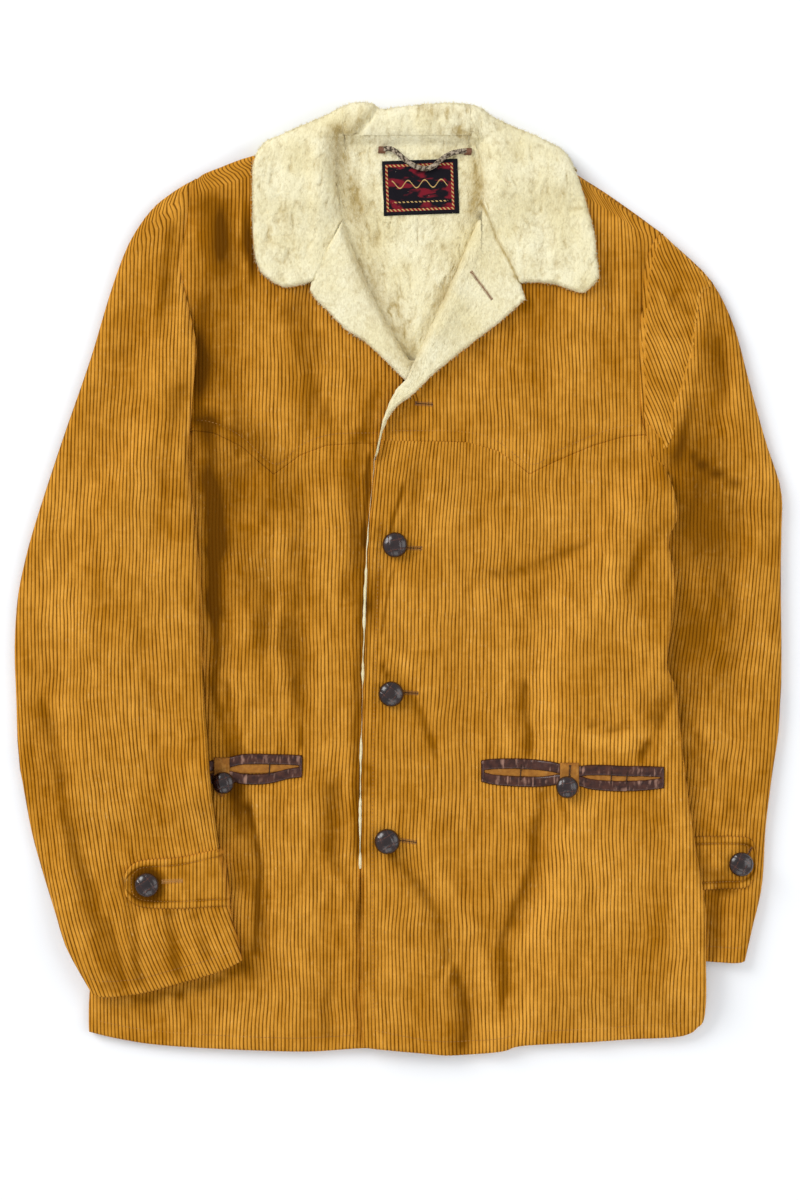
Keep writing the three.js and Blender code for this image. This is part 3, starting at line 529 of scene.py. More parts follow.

# Grooves between the ribs: their dark colour is partly the cloth's own darker ground, partly painted shade in
# the hollows.
off_crest = abs(wale.by("FRACT") - 0.5) * 2.0
wander = (hairs - 0.5) * 0.35
groove = (off_crest + wander - (streaks - 0.5) * 0.5).spread(0.50, 0.97)
lightness = patches.spread(0.34, 0.66) * 0.40 + streaks.spread(0.28, 0.72) * 0.34
# Painted light and shade from the third input: lighter on ridges and edges, darker in troughs.
lightness = lightness + brushed.spread(0.40, 0.66) * 0.22 + painted_light_and_tone * 0.55 + wander
rib_colour = blend_of(nap, lightness, middle_colour, crest_colour)
fleck = flecks.spread(0.60, 0.72) * patches.spread(0.42, 0.62) * 0.5
rib_colour = blend_of(nap, fleck, rib_colour, worn_colour)
# Painted shade: troughs, creases and cast shadows blend towards the dark shade colour.
rib_colour = blend_of(nap, painted_light_and_tone.spread(-0.10, -1.30) * 0.85, rib_colour, painted_shade_colour)
feed(nap, nap.nodes.new("NodeGroupOutput"), {
    "Colour": blend_of(nap, groove, rib_colour, groove_ground_and_shade_colour),
    "Height": hairs - groove * 1.4,
    "Roughness": groove * 0.2 + 0.72,
})


def read(tree, name):
    """A value that is written on a piece."""
    return Level(tree, wire(tree, "Attribute", attribute_name=name).outputs["Fac"])


corduroy, tree, shader = plain_material("corduroy")
cloth = tree.nodes.new("ShaderNodeGroup")
cloth.node_tree = nap
feed(tree, cloth, {label.capitalize(): read(tree, label) for label in ("wale", "along", "painted_light_and_tone")})
feed(tree, shader, {
    "Base Color": cloth.outputs["Colour"],
    "Roughness": cloth.outputs["Roughness"],
    "Normal": grained(tree, cloth.outputs["Height"], 0.55, 0.0004),
    "Specular IOR Level": 0.02,
    "Sheen Weight": 0.07,
    "Sheen Roughness": 0.45,
    "Sheen Tint": (1.0, 0.62, 0.25, 1),
})


def back_left(y):
    return np.where(y < 137, x_on(flowing(right_side), y), x_on(flowing(right_armhole), y) + 0.8)


def back_right(y):
    return np.where(y < 114, x_on(flowing(left_side), y), x_on(flowing(left_armhole), y) - 0.8)


def back_hem(x):
    return np.where(x < -34, y_on(flowing(right_hem), x), y_on(flowing(left_hem), x))


def back_top(x):
    neck = 408 + 0 * x
    sides = np.where(x < 0, y_on(flowing(right_shoulder), x), y_on(flowing(left_shoulder), x))
    return np.where((x > -50) & (x < 61), neck, sides)


faces = []
for upper in (True, False):
    sheet, x, y, fall, lost = cut_cloth(
        wale_pitch, back_left, back_right, back_hem, back_top, stations(780, 15), [(3, 2.5)] * 4,
    )
    rumple = 0.5 * drift(x, y, 45, 4) * ramp(fall, 2, 0) if upper else 0 * x
    high = back_high(x, y) - fall + rumple if upper else back_low(x, y) + fall
    place_points(sheet, np.column_stack([x, y, high]), {
        "wale": x / wale_pitch, "along": y, "painted_light_and_tone": 0 * x - 0.2,
    })
    trimmed(sheet, lost)
    faces.append(sheet if upper else turned_down(sheet))
back = fixed(shown("back", joined(faces), corduroy), "back_body")
weld = back.modifiers.new("side_seams", "WELD")
weld.merge_threshold = 0.0001


# Fronts: each is a lower panel and a pointed yoke of corduroy, lined with pile.
# The left one laps over the right, and both drape in long soft folds.

front_left_edge = [
    (-33, -430), (-34, -396), (-35, -238), (-34, -144), (-31.5, -50), (-29, 25), (-27, 54), (-22, 108),
    (-18, 129), (-16, 143), (-10, 159), (-3, 172), (6, 181),
]
front_right_edge = [(4, -430), (4, 0), (6, 160)]
right_roll = [(8, 198), (-5, 221), (-22, 251), (-40, 292), (-50, 319), (-57, 354), (-58, 382), (-55, 399)]
left_roll = [(13, 198), (28, 230), (43, 262), (59, 299), (74, 337), (73, 369), (66, 399)]
right_yoke_seam = [
    (-230, 135), (-188, 135), (-167, 132), (-143, 120), (-113, 95), (-90, 112), (-66, 121), (-40, 123),
    (20, 123),
]
left_yoke_seam = [
    (-40, 126), (0, 125), (58, 124), (87, 116), (118, 95), (142, 107), (174, 121), (202, 129), (260, 134),
]
grain_line = -31.0
grain_reach = 120.0
shoulder_turn = 17.0
roll_inset = 5.0
long_folds = [
    # line in mm, half width, rise
    ([(-9, -240), (27, -288), (50, -360), (59, -424)], 15, -2.6),
    ([(18, -236), (52, -290), (78, -365), (86, -424)], 17, 2.3),
    ([(130, -192), (117, -270), (95, -324), (90, -385)], 14, -2.6),
    ([(160, -200), (146, -275), (122, -335), (118, -400)], 20, 2.2),
    ([(-30, -260), (-12, -310), (-4, -380), (-2, -424)], 14, 1.7),
    ([(196, -205), (190, -290), (178, -350), (180, -415)], 22, 1.3),
    ([(228, -200), (238, -290), (236, -380)], 14, -1.5),
    ([(9, -104), (20, -128), (27, -158)], 8, -1.6),
    ([(24, -96), (38, -130), (46, -168)], 12, 1.7),
    ([(112, -90), (113, -130), (117, -160)], 8, -1.6),
    ([(132, -70), (134, -120), (138, -158)], 13, 1.7),
    ([(96, -40), (92, -110), (94, -155)], 12, 1.4),
    ([(165, -142), (196, -146), (226, -138)], 8, 2.2),
    ([(168, -126), (200, -128), (232, -112)], 7, -1.5),
    ([(216, -158), (234, -120), (248, -92)], 7, -1.9),
    ([(198, -150), (220, -104), (242, -66)], 8, 1.7),
    ([(232, -160), (246, -130), (252, -108)], 6, 1.6),
    ([(-8, 24), (-15, 0), (-22, -44)], 6, -1.5),
    ([(4, 10), (-6, -24), (-14, -58)], 7, 1.4),
    ([(-21, -72), (-10, -90)], 5, -1.3),
    ([(-20, -128), (-14, -170), (-22, -214)], 7, 1.2),
    ([(150, 62), (104, 44), (60, 34)], 16, 1.7),
    ([(190, 40), (120, 12), (70, 8)], 12, -1.3),
    ([(206, 90), (188, 30), (196, -40)], 14, 1.6),
    ([(222, 60), (214, 4), (222, -44)], 10, -1.5),
    ([(60, 110), (40, 60), (44, -20)], 16, 1.3),
    ([(22, 100), (8, 60), (12, 30)], 10, -1.2),
    ([(-124, 90), (-130, 20), (-136, -60), (-142, -150)], 13, 2.2),
    ([(-150, 96), (-156, 0), (-160, -100)], 12, -1.8),
    ([(-90, 30), (-89, -40), (-92, -112)], 12, -2.2),
    ([(-66, 70), (-70, -20), (-72, -120)], 14, 1.8),
    ([(-108, 60), (-110, -30), (-114, -130)], 9, 1.4),
    ([(-46, 96), (-40, 40), (-44, -20)], 8, -1.6),
    ([(-60, -190), (-64, -250), (-60, -320), (-66, -410)], 14, -2.2),
    ([(-88, -190), (-92, -260), (-90, -340), (-98, -415)], 13, 1.7),
    ([(-128, -200), (-138, -270), (-150, -350), (-150, -415)], 16, 2.0),
    ([(-112, -210), (-118, -280), (-124, -360)], 9, -1.4),
    ([(-46, -100), (-50, -160), (-46, -230)], 7, 1.5),
    ([(-37, -262), (-38, -340), (-37, -424)], 3.4, -2.6),
    ([(-137, -204), (-124, -262), (-128, -335)], 6, -2.2),
    ([(-112, -220), (-108, -280), (-114, -340)], 9, 1.6),
    ([(-117, 262), (-116, 210), (-120, 150)], 13, 1.9),
    ([(-150, 300), (-146, 230), (-152, 160)], 12, -1.5),
    ([(-88, 240), (-80, 190), (-84, 140)], 12, -1.4),
    ([(-172, 330), (-168, 250), (-170, 170)], 10, 1.5),
    ([(-52, 200), (-48, 170), (-52, 136)], 9, 1.2),
    ([(150, 330), (160, 260), (158, 190), (150, 140)], 14, 1.6),
    ([(190, 310), (188, 250), (196, 180)], 11, -1.5),
    ([(206, 330), (206, 250), (208, 200), (216, 140)], 8, 1.7),
    ([(120, 240), (124, 190), (120, 140)], 12, -1.2),
    ([(70, 190), (76, 160), (72, 134)], 10, 1.1),
]
crease_count = 150
body_shades = [
    # painted shadows, shade and highlights, with broad patches of the nap's own tone: line in mm, half width,
    # amount
    ([(-164, 340), (-165, 300), (-172, 240), (-174, 180)], 17, -1.4),
    ([(-178, 250), (-180, 190), (-184, 140)], 7, -0.8),
    ([(-173, 136), (-169, 80), (-167, 36)], 11, -1.9),
    ([(-169, 60), (-168, 10), (-168, -24)], 8, -1.3),
    ([(-176, 30), (-173, -20), (-166, -70), (-160, -112)], 5, -1.3),
    ([(-150, -92), (-149, -120), (-147, -148)], 4, -1.0),
    ([(-158, -120), (-153, -165)], 7, -1.0),
    ([(-156, -180), (-150, -205), (-146, -230)], 8, -0.7),
    ([(141, -182), (145, -200), (150, -214)], 4.5, -1.0),
    ([(165, -184), (168, -192)], 4, -0.6),
    ([(236, 108), (241, 96), (247.5, 77), (249, 56)], 1.8, 1.3),
    ([(243, 38), (246, 12), (247, -20)], 1.6, 0.8),
    ([(-148, -160), (-142, -230), (-137, -300), (-138, -350)], 13, -0.95),
    ([(-137, -204), (-124, -262), (-128, -335)], 4, -1.1),
    ([(-140, -346), (-165, -358), (-200, -368), (-240, -377)], 5, -0.8),
    ([(-118, 262), (-100, 258), (-88, 262)], 5, -0.6),
    ([(-162, 330), (-161, 312), (-160, 292)], 4.5, -1.2),
    ([(-138, 332), (-137, 304), (-133, 282)], 4.5, -0.9),
    ([(-139, 330), (-139, 300), (-134, 284)], 3.5, -0.9),
    ([(-184, 328), (-188, 300)], 3.5, 0.5),
    ([(-9, -240), (27, -288), (50, -360), (59, -424)], 5, -0.6),
    ([(18, -236), (52, -290), (78, -365), (86, -424)], 8, 0.4),
    ([(130, -192), (117, -270), (95, -324), (90, -385)], 5, -0.7),
    ([(150, -200), (138, -275), (116, -335), (112, -400)], 8, 0.4),
    ([(112, -90), (113, -130), (117, -160)], 4, -0.8),
    ([(128, -80), (130, -120), (134, -158)], 5, 0.5),
    ([(96, -60), (92, -110), (94, -155)], 5, 0.45),
    ([(9, -104), (20, -128), (27, -158)], 3.5, -0.6),
    ([(162, -142), (196, -147), (226, -139)], 5, 0.7),
    ([(168, -130), (200, -133), (232, -118)], 3.5, -0.6),
    ([(216, -158), (234, -120), (248, -92)], 4, -0.8),
    ([(200, -150), (222, -104), (242, -66)], 4, 0.5),
    ([(234, -160), (248, -130), (254, -108)], 3.5, 0.6),
    ([(150, 62), (104, 44), (60, 34)], 5, 0.35),
    ([(190, 40), (120, 12), (70, 8)], 4, -0.35),
    ([(-95, -88), (-92, -118), (-90, -148)], 4, -0.7),
    ([(-110, 60), (-112, -30), (-116, -110)], 5, 0.35),
    ([(-64, 40), (-68, -20), (-70, -110)], 7, 0.4),
    ([(-60, -190), (-62, -230), (-60, -262)], 6, -0.4),
    ([(60, 110), (42, 60), (44, -10)], 9, 0.3),
    ([(206, 96), (192, 30), (198, -40)], 8, 0.35),
    ([(-136, 124), (-132, 50), (-128, -50)], 26, -0.75),
    ([(-100, 100), (-100, 0), (-100, -100)], 30, -0.25),
    ([(-38, 125), (-42, 60), (-36, -20)], 10, -0.75),
    ([(-34, -20), (-38, -120), (-37, -250)], 6, -0.7),
    ([(-25, 112), (-30, 70), (-33, 36)], 3, -1.6),
    ([(5, 85), (-5, 47)], 1.8, -0.9),
    ([(-8.5, 14), (-16, -17), (-19, -46)], 1.8, -1.0),
    ([(-12, -20), (-15, -46)], 2, -0.7),
    ([(-21, -71), (-12, -88)], 1.8, -0.8),
    ([(10, 80), (0, 47)], 3, 0.5),
    ([(-2, 12), (-10, -20), (-12, -40)], 3, 0.6),
    ([(-14, -58), (8, -76)], 5, 0.6),
    ([(24, 60), (30, 40)], 5, 0.6),
    ([(-26, -50), (-24, -66)], 3, 0.6),
    ([(-96, 250), (-70, 208), (-40, 176)], 9, -0.45),
    ([(-24, 168), (-30, 130)], 5, -0.6),
    ([(-110, 250), (-90, 190), (-60, 140)], 8, -0.5),
    ([(-140, 262), (-110, 252), (-92, 256)], 7, -0.6),
    ([(-150, -176), (-112, -160)], 15, -0.35),
    ([(-4, 140), (30, 172), (70, 205), (108, 242)], 8, -0.45),
    ([(110, 258), (150, 252), (176, 262)], 6, -0.5),
    ([(8, 160), (20, 120), (12, 80)], 9, -0.3),
    ([(212, 300), (216, 220), (221, 140), (240, 90)], 7, -0.55),
    ([(240, 60), (214, 20), (196, -30)], 7, -0.4),
    ([(-60, -270), (-60, -390)], 22, 0.35),
    ([(252, -230), (252, -380)], 22, 0.5),
    ([(114, -250), (112, -330)], 14, 0.3),
    ([(160, -220), (160, -400)], 60, 0.2),
    ([(110, 200), (140, 60), (150, -60)], 60, 0.12),
    ([(-240, -380), (-180, -395), (-120, -400)], 18, 0.15),
]
sleeve_shades = [
    # painted shadows, shade and highlights, with broad patches of the nap's own tone: line in mm, half width,
    # amount
    ([(264, 120), (268, 60), (276, 0), (268, -70)], 38, -0.7),
    ([(266, -70), (262, -150), (258, -215)], 22, -0.5),
    ([(284, 216), (292, 170)], 9, -0.7),
    ([(283, -275), (284, -338)], 9, -0.6),
    ([(262, 160), (252, 128), (244, 108)], 7, -0.9),
    ([(278, 240), (272, 200), (266, 170)], 6, -0.5),
    ([(262, 110), (280, 98), (304, 84)], 4, -0.8),
    ([(322, 150), (334, 90)], 12, 0.35),
    ([(-319, -108), (-292, -243), (-261, -364)], 9, -0.5),
    ([(-225, 130), (-225, 20)], 22, 0.3),
    ([(-190, 325), (-197, 276), (-190, 245), (-184, 209), (-187, 173), (-189, 137)], 2.0, 1.3),
    ([(-190, 120), (-184, 54), (-180, -18)], 2.0, 0.8),
    ([(-280, 120), (-310, 20), (-300, -80)], 26, 0.25),
    ([(-206, 318), (-208, 290), (-216, 230)], 6, -0.6),
    ([(-190, 330), (-196, 280), (-198, 250)], 3.5, 0.5),
    ([(-196, 170), (-212, 110), (-214, 40)], 8, -0.3),
    ([(-206, -302), (-198, -352)], 7, -0.7),
    ([(-243, -300), (-234, -364)], 8, -0.6),
    ([(-264, -312), (-248, -368)], 6, -0.55),
    ([(-251, -258), (-254, -276), (-247, -292)], 3.5, -1.0),
    ([(-236, -298), (-200, -299), (-164, -297)], 3.0, -0.7),
    ([(-232, -247), (-200, -244.5), (-170, -238)], 2.6, -0.5),
    ([(-180, -310), (-172, -330)], 7, -0.5),
    ([(268, -284), (300, -282), (316, -276)], 3.0, -0.8),
    ([(268, -226), (310, -226)], 2.5, -0.5),
]


def distance_to(line, x, y):
    """How far places are from a line."""
    nearest = np.full(np.shape(x), 1e9)
    line = np.asarray(line, dtype=float)
    for (ax, ay), (bx, by) in zip(line, line[1:]):
        dx, dy = bx - ax, by - ay
        t = np.clip(((x - ax) * dx + (y - ay) * dy) / (dx * dx + dy * dy), 0, 1)
        nearest = np.minimum(nearest, np.hypot(x - ax - t * dx, y - ay - t * dy))
    return nearest


def folds_at(x, y, folds, seed):
    """Height of soft ridges and troughs, warped so that none is straight."""
    wx = x + 5 * drift(x, y, 55, seed) + 2 * drift(x, y, 19, seed + 1)
    wy = y + 7 * drift(x, y, 60, seed + 2)
    uneven = 0.8 + 0.45 * drift(x, y, 38, seed + 3)
    total = np.zeros(np.shape(x))
    for line, half, rise in folds:
        away = distance_to(line, wx, wy) / half
        total += rise * uneven * np.exp(-1.2 * away**2)
    return total


crease_slant = 0.9


def creases_over(region, count, seed):
    """Short fine creases at random places in a region, most of them along it."""
    chance = np.random.default_rng(seed)
    x0, x1, y0, y1 = region
    rows = []
    for _ in range(count):
        x, y = chance.uniform(x0, x1), chance.uniform(y0, y1)
        turn = chance.normal(0, crease_slant)
        reach = chance.uniform(7, 26)
        dx, dy = reach * math.sin(turn), reach * math.cos(turn)
        bow = chance.normal(0, 3)
        line = [(x - dx, y - dy), (x + bow, y), (x + dx, y + dy)]
        rows.append((line, chance.uniform(2.4, 5.5), chance.choice([-1, 1]) * chance.uniform(0.25, 0.75)))
    return rows


def channel_at(x, y, lines, width=1.3, depth=0.5):
    """The groove that a row of topstitching pulls into the cloth."""
    total = np.zeros(np.shape(x))
    for line in lines:
        total += depth * np.exp(-((distance_to(line, x, y) / width) ** 2))
    return total


def lapped(x, y):
    return front_over_front * ramp(-x, -70, -34) * ramp(-y, -275, -220)


def right_front_high(x, y):
    return back_high(x, y) + seam_gap + body_wall


def left_front_high(x, y):
    return right_front_high(x, y) + lapped(x, y)


fine_creases = creases_over((-270, 270, -425, 370), crease_count, 11)
seams = {
    "right_yoke": flowing(right_yoke_seam) + (0, 9.5),
    "left_yoke": flowing(left_yoke_seam) + (0, 9.5),
    "right_hem": flowing(right_hem) + (0, 13),
    "left_hem": np.vstack([[(-24, -405)], flowing(left_hem[2:-1]) + (0, 13)]),
    "left_edge": np.array(front_left_edge[1:7]) + (10, 0),
}


def front_piece(name, node, high_at, left, right, low, top, rims, step, grain=0.0, shoulder=None):
    """One piece of a front, from its sides and ends, with folds and ribs."""
    shares = stations(float(np.median(top(np.linspace(-170, 170, 9)) - low(np.linspace(-170, 170, 9)))), step)
    sheet, across, y, fall, lost = cut_cloth(wale_pitch / 4, left, right, low, top, shares, rims)
    wale = across / wale_pitch
    x = across + grain * (x_on(front_left_edge, y) - grain_line) * (1 - ramp(across, grain_line, grain_reach))
    away = ramp(np.minimum(across - left(y), right(y) - across), 0, 30)
    x = x + away * (1.5 * drift(x, y, 46, 12) + 0.7 * drift(x, y, 21, 13))
    if shoulder:
        over = away * ramp(y - top(across), -shoulder_turn, -2)
        x, y = x + shoulder[0] * over, y + shoulder[1] * over
    folds = folds_at(x, y, long_folds, 21)
    fine = folds_at(x, y, fine_creases, 31)
    still = ramp(fall, 1.5, 0)
    rumple = 0.5 * drift(x, y, 34, 5) + 0.3 * drift(x, y, 15, 6)
    pucker = 0.35 * drift(x, y * 0.3, 7, 8) * ramp(18 - (y - low(across)), 0, 12)
    sewn = channel_at(x, y, seams.values())
    high = high_at(x, y) + (folds + fine + rumple + pucker) * (0.35 + 0.65 * still)
    high = high - sewn - fall + wale_height(wale)
    # Painted light and shade: ridges lighter, troughs and stitched channels darker, plus the painted shadows
    # and highlights of body_shades.
    shade = 0.2 * folds + 0.6 * fine - 0.5 * sewn + folds_at(x, y, body_shades, 91)
    place_points(sheet, np.column_stack([x, y, high]), {"wale": wale, "along": y, "painted_light_and_tone": shade})
    return cloth_piece(name, trimmed(sheet, lost), corduroy, node)


def right_front_side(y):
    return np.where(y < 137, x_on(flowing(right_side), y), x_on(flowing(right_armhole), y) - 4)


def left_front_side(y):
    return np.where(y < 114, x_on(flowing(left_side), y), x_on(flowing(left_armhole), y) - 0.8)


def right_yoke_top(x):
    roll = y_on(flowing(right_roll[:-1]) - (roll_inset, 0), np.maximum(x, -62.5))
    return np.where(x < -62.5, y_on(flowing(right_shoulder), x), np.where(x > 3, 198 - (x - 3), roll))


def left_yoke_top(x):
    roll = y_on(flowing(left_roll[:-2]) + (roll_inset, 0), np.minimum(x, 79))
    open_part = y_on(front_left_edge[-6:], np.minimum(x, 18))
    return np.where(x > 79, y_on(flowing(left_shoulder), x), np.where(x < 18, open_part, roll))


right_front = front_piece(
    "front_right", "front_right_panel", right_front_high, right_front_side,
    lambda y: x_on(front_right_edge, y), lambda x: y_on(flowing(right_hem), x),
    lambda x: y_on(right_yoke_seam, x) + 0.5, [(6, 5.5), (2, 2), (3, 4.8), (1.6, 1.2)], 7.6,
)
right_yoke = front_piece(
    "yoke_right", "front_right_yoke", right_front_high, right_front_side,
    lambda y: np.where(y > 160, x_on(flowing(right_roll) - (roll_inset, 0), y), 4.0),
    lambda x: y_on(right_yoke_seam, x), right_yoke_top, [(3, 3), (2, 2), (1.4, 0.9), (4, 5)], 6,
    shoulder=(-11.5, -3.6),
)
left_front = front_piece(
    "front_left", "front_left_panel", left_front_high, lambda y: grain_line + 0 * y,
    left_front_side, lambda x: y_on(flowing(left_hem), x),
    lambda x: y_on(left_yoke_seam, x) + 0.5, [(3.2, 4.9), (6, 5.5), (3, 4.8), (1.6, 1.2)], 7.6, grain=1.0,
)
left_yoke = front_piece(
    "yoke_left", "front_left_yoke", left_front_high,
    lambda y: np.where(y > 198, x_on(flowing(left_roll) + (roll_inset, 0), y), x_on(front_left_edge, y)),
    left_front_side, lambda x: y_on(left_yoke_seam, x), left_yoke_top,
    [(3.2, 4.6), (3, 3), (1.4, 0.9), (4, 5)], 6, shoulder=(-11.0, 5.2),
)


# Sleeves: tubes of corduroy, wider at the armhole. The right one lies across
# the front, the left one is tucked under the side of the body.

sleeve_loft = 12.5
sleeve_clear = 1.0
sleeve_rim, sleeve_rim_fall = 10.0, 6.6
sleeve_creases = 70
over_welts, over_button = 4.2, 7.5
right_outer = [
    (-184, 362.5), (-201, 353), (-221, 338), (-236, 319), (-248, 297), (-262, 258), (-280, 198), (-305, 126),
    (-328.5, 54), (-338.5, 18), (-345.5, -18), (-348, -63), (-346.5, -108), (-345.5, -144), (-344, -166),
    (-340.5, -184), (-337.5, -202), (-331, -234), (-320.5, -270), (-310, -301), (-300, -331), (-280, -367),
]
right_inner = [
    (-184, 362.5), (-190, 328), (-195, 297), (-197, 276), (-190, 245), (-183, 209), (-186, 173),
    (-188.5, 137), (-191, 113), (-190.5, 103), (-189, 88), (-185, 54), (-181, 18), (-180, -18), (-178, -63),
    (-172.5, -108), (-166, -144), (-161.5, -184), (-159, -234), (-156.5, -270), (-152, -299), (-146, -322),
    (-142, -342),
]
right_cuff_end = [
    (-142, -342), (-163, -352), (-199, -362.5), (-231, -371), (-262, -374.5), (-276, -372), (-280, -367),
]
right_axis = [
    (-243, 400), (-247, 320), (-251, 250), (-253, 165), (-255, 90), (-257, 20), (-258, -50), (-256, -120),
    (-251, -180), (-243, -250), (-229, -310), (-211, -358), (-194, -400),
]
left_outer = [
    (234, 314), (262, 290), (284, 266), (302, 228), (315, 180), (330, 126), (344, 82), (344.5, 45), (344, 18),
    (344, -18), (344.5, -72), (343, -126), (335.5, -180), (330, -225), (327, -275), (318, -315),
    (311.5, -344),
]
left_inner = [
    (233, 313.5), (222, 296), (217, 266), (218, 250), (214, 229), (214, 185), (216, 150), (222, 124),
    (228, 104), (236, 76), (234, 62), (226, 48), (212, 34), (198, 14), (184, -18), (178, -72), (176, -126),
    (177, -180), (175, -225), (173, -270), (174, -310), (178, -340),
]
left_cuff_end = [(178, -340), (220, -342), (262, -343), (300, -345.5), (311.5, -344)]
left_axis = [
    (252, 380), (258, 310), (264, 250), (270, 180), (274, 110), (274, 40), (270, -20), (264, -80),
    (260, -150), (254, -220), (249, -280), (245, -345), (243, -400),
]

right_sleeve_folds = [
    ([(-322, -126), (-304, -200), (-278, -290), (-256, -360)], 15, -3.0),
    ([(-300, -110), (-282, -190), (-262, -260)], 17, 2.4),
    ([(-300, -270), (-286, -310), (-270, -350)], 9, 2.4),
    ([(-212, -330), (-204, -352)], 8, -1.9),
    ([(-238, -322), (-232, -360)], 8, 1.7),
    ([(-190, -310), (-180, -345)], 7, 1.5),
    ([(-200, 230), (-228, 160), (-240, 90)], 16, 2.0),
    ([(-222, 270), (-250, 200), (-272, 130)], 14, -1.9),
    ([(-196, 170), (-212, 110), (-214, 40)], 13, -2.0),
    ([(-240, 60), (-236, -20), (-244, -90)], 18, 1.9),
    ([(-290, 90), (-306, 30), (-310, -40)], 15, 1.8),
    ([(-270, 40), (-276, -40), (-280, -110)], 12, -1.8),
    ([(-205, 10), (-204, -70), (-196, -130)], 12, 1.7),
    ([(-226, -60), (-222, -130), (-214, -200)], 12, -1.7),
    ([(-250, -110), (-238, -170), (-232, -220)], 12, 1.6),
    ([(-190, -140), (-184, -190), (-182, -232)], 8, 1.8),
    ([(-324, -30), (-328, -80), (-326, -120)], 10, 1.7),
    ([(-200, 330), (-212, 290), (-224, 262)], 9, 1.4),
    ([(-192, 300), (-203, 262), (-206, 220)], 7, -1.5),
    ([(-330, -200), (-312, -206), (-298, -196)], 7, -1.4),
]
left_sleeve_folds = [
    ([(272, 258), (266, 208), (256, 165), (238, 114)], 9, 3.0),
    ([(252, 262), (248, 216), (240, 170)], 8, -2.2),
    ([(290, 230), (286, 190), (282, 150)], 11, -2.8),
    ([(306, 190), (302, 130), (300, 90)], 12, 1.8),
    ([(330, 90), (318, 40), (316, -20)], 12, 1.7),
    ([(300, 60), (296, 0), (298, -60)], 13, -1.8),
    ([(330, -60), (322, -130), (318, -180)], 12, 1.6),
    ([(286, -20), (282, -90), (288, -160)], 12, 1.6),
    ([(306, -100), (300, -160), (302, -215)], 9, -1.5),
    ([(290, -276), (284, -310), (282, -338)], 8, -2.3),
    ([(304, -290), (300, -335)], 7, 1.6),
    ([(262, 228), (280, 220), (300, 216)], 8, 1.4),
]


class Grain:
    """The middle line of a sleeve, which its ribs keep parallel to."""

    def __init__(self, line):
        self.line = flowing(line, 20)
        self.length = lengths_of(self.line)
        self.heading = np.gradient(self.line, axis=0)
        self.heading /= np.linalg.norm(self.heading, axis=1)[:, None]
        self.side = np.column_stack([self.heading[:, 1], -self.heading[:, 0]])

    def flat(self, points):
        """Places on the table as distances off and along the line."""
        points = np.asarray(points, dtype=float)
        nearest = np.argmin(np.linalg.norm(points[:, None] - self.line[None], axis=2), axis=1)
        off = points - self.line[nearest]
        along = self.length[nearest] + np.sum(off * self.heading[nearest], axis=1)
        return np.column_stack([np.sum(off * self.side[nearest], axis=1), along])

    def laid(self, off, along):
        """The places on the table of distances off and along the line."""
        place = [np.interp(along, self.length, self.line[:, axis]) for axis in (0, 1)]
        side = [np.interp(along, self.length, self.side[:, axis]) for axis in (0, 1)]
        return place[0] + off * side[0], place[1] + off * side[1]


def right_sleeve_floor(x, y):
    body_edge = np.where(y > 137, x_on(right_armhole, y), x_on(right_side, y))
    over = ramp(x, body_edge - 58, body_edge - 20) * ramp(-y, -315, -185)
    on_body = right_front_high(np.maximum(x, body_edge), np.minimum(y, 137)) + sleeve_clear
    on_pocket = over_welts * ramp(y, -232, -202) * ramp(-y, 128, 158)
    on_button = over_button * ramp(y, -212, -196) * ramp(-y, 152, 170) * ramp(x, -215, -180)
    return over * (on_body + on_pocket + on_button)


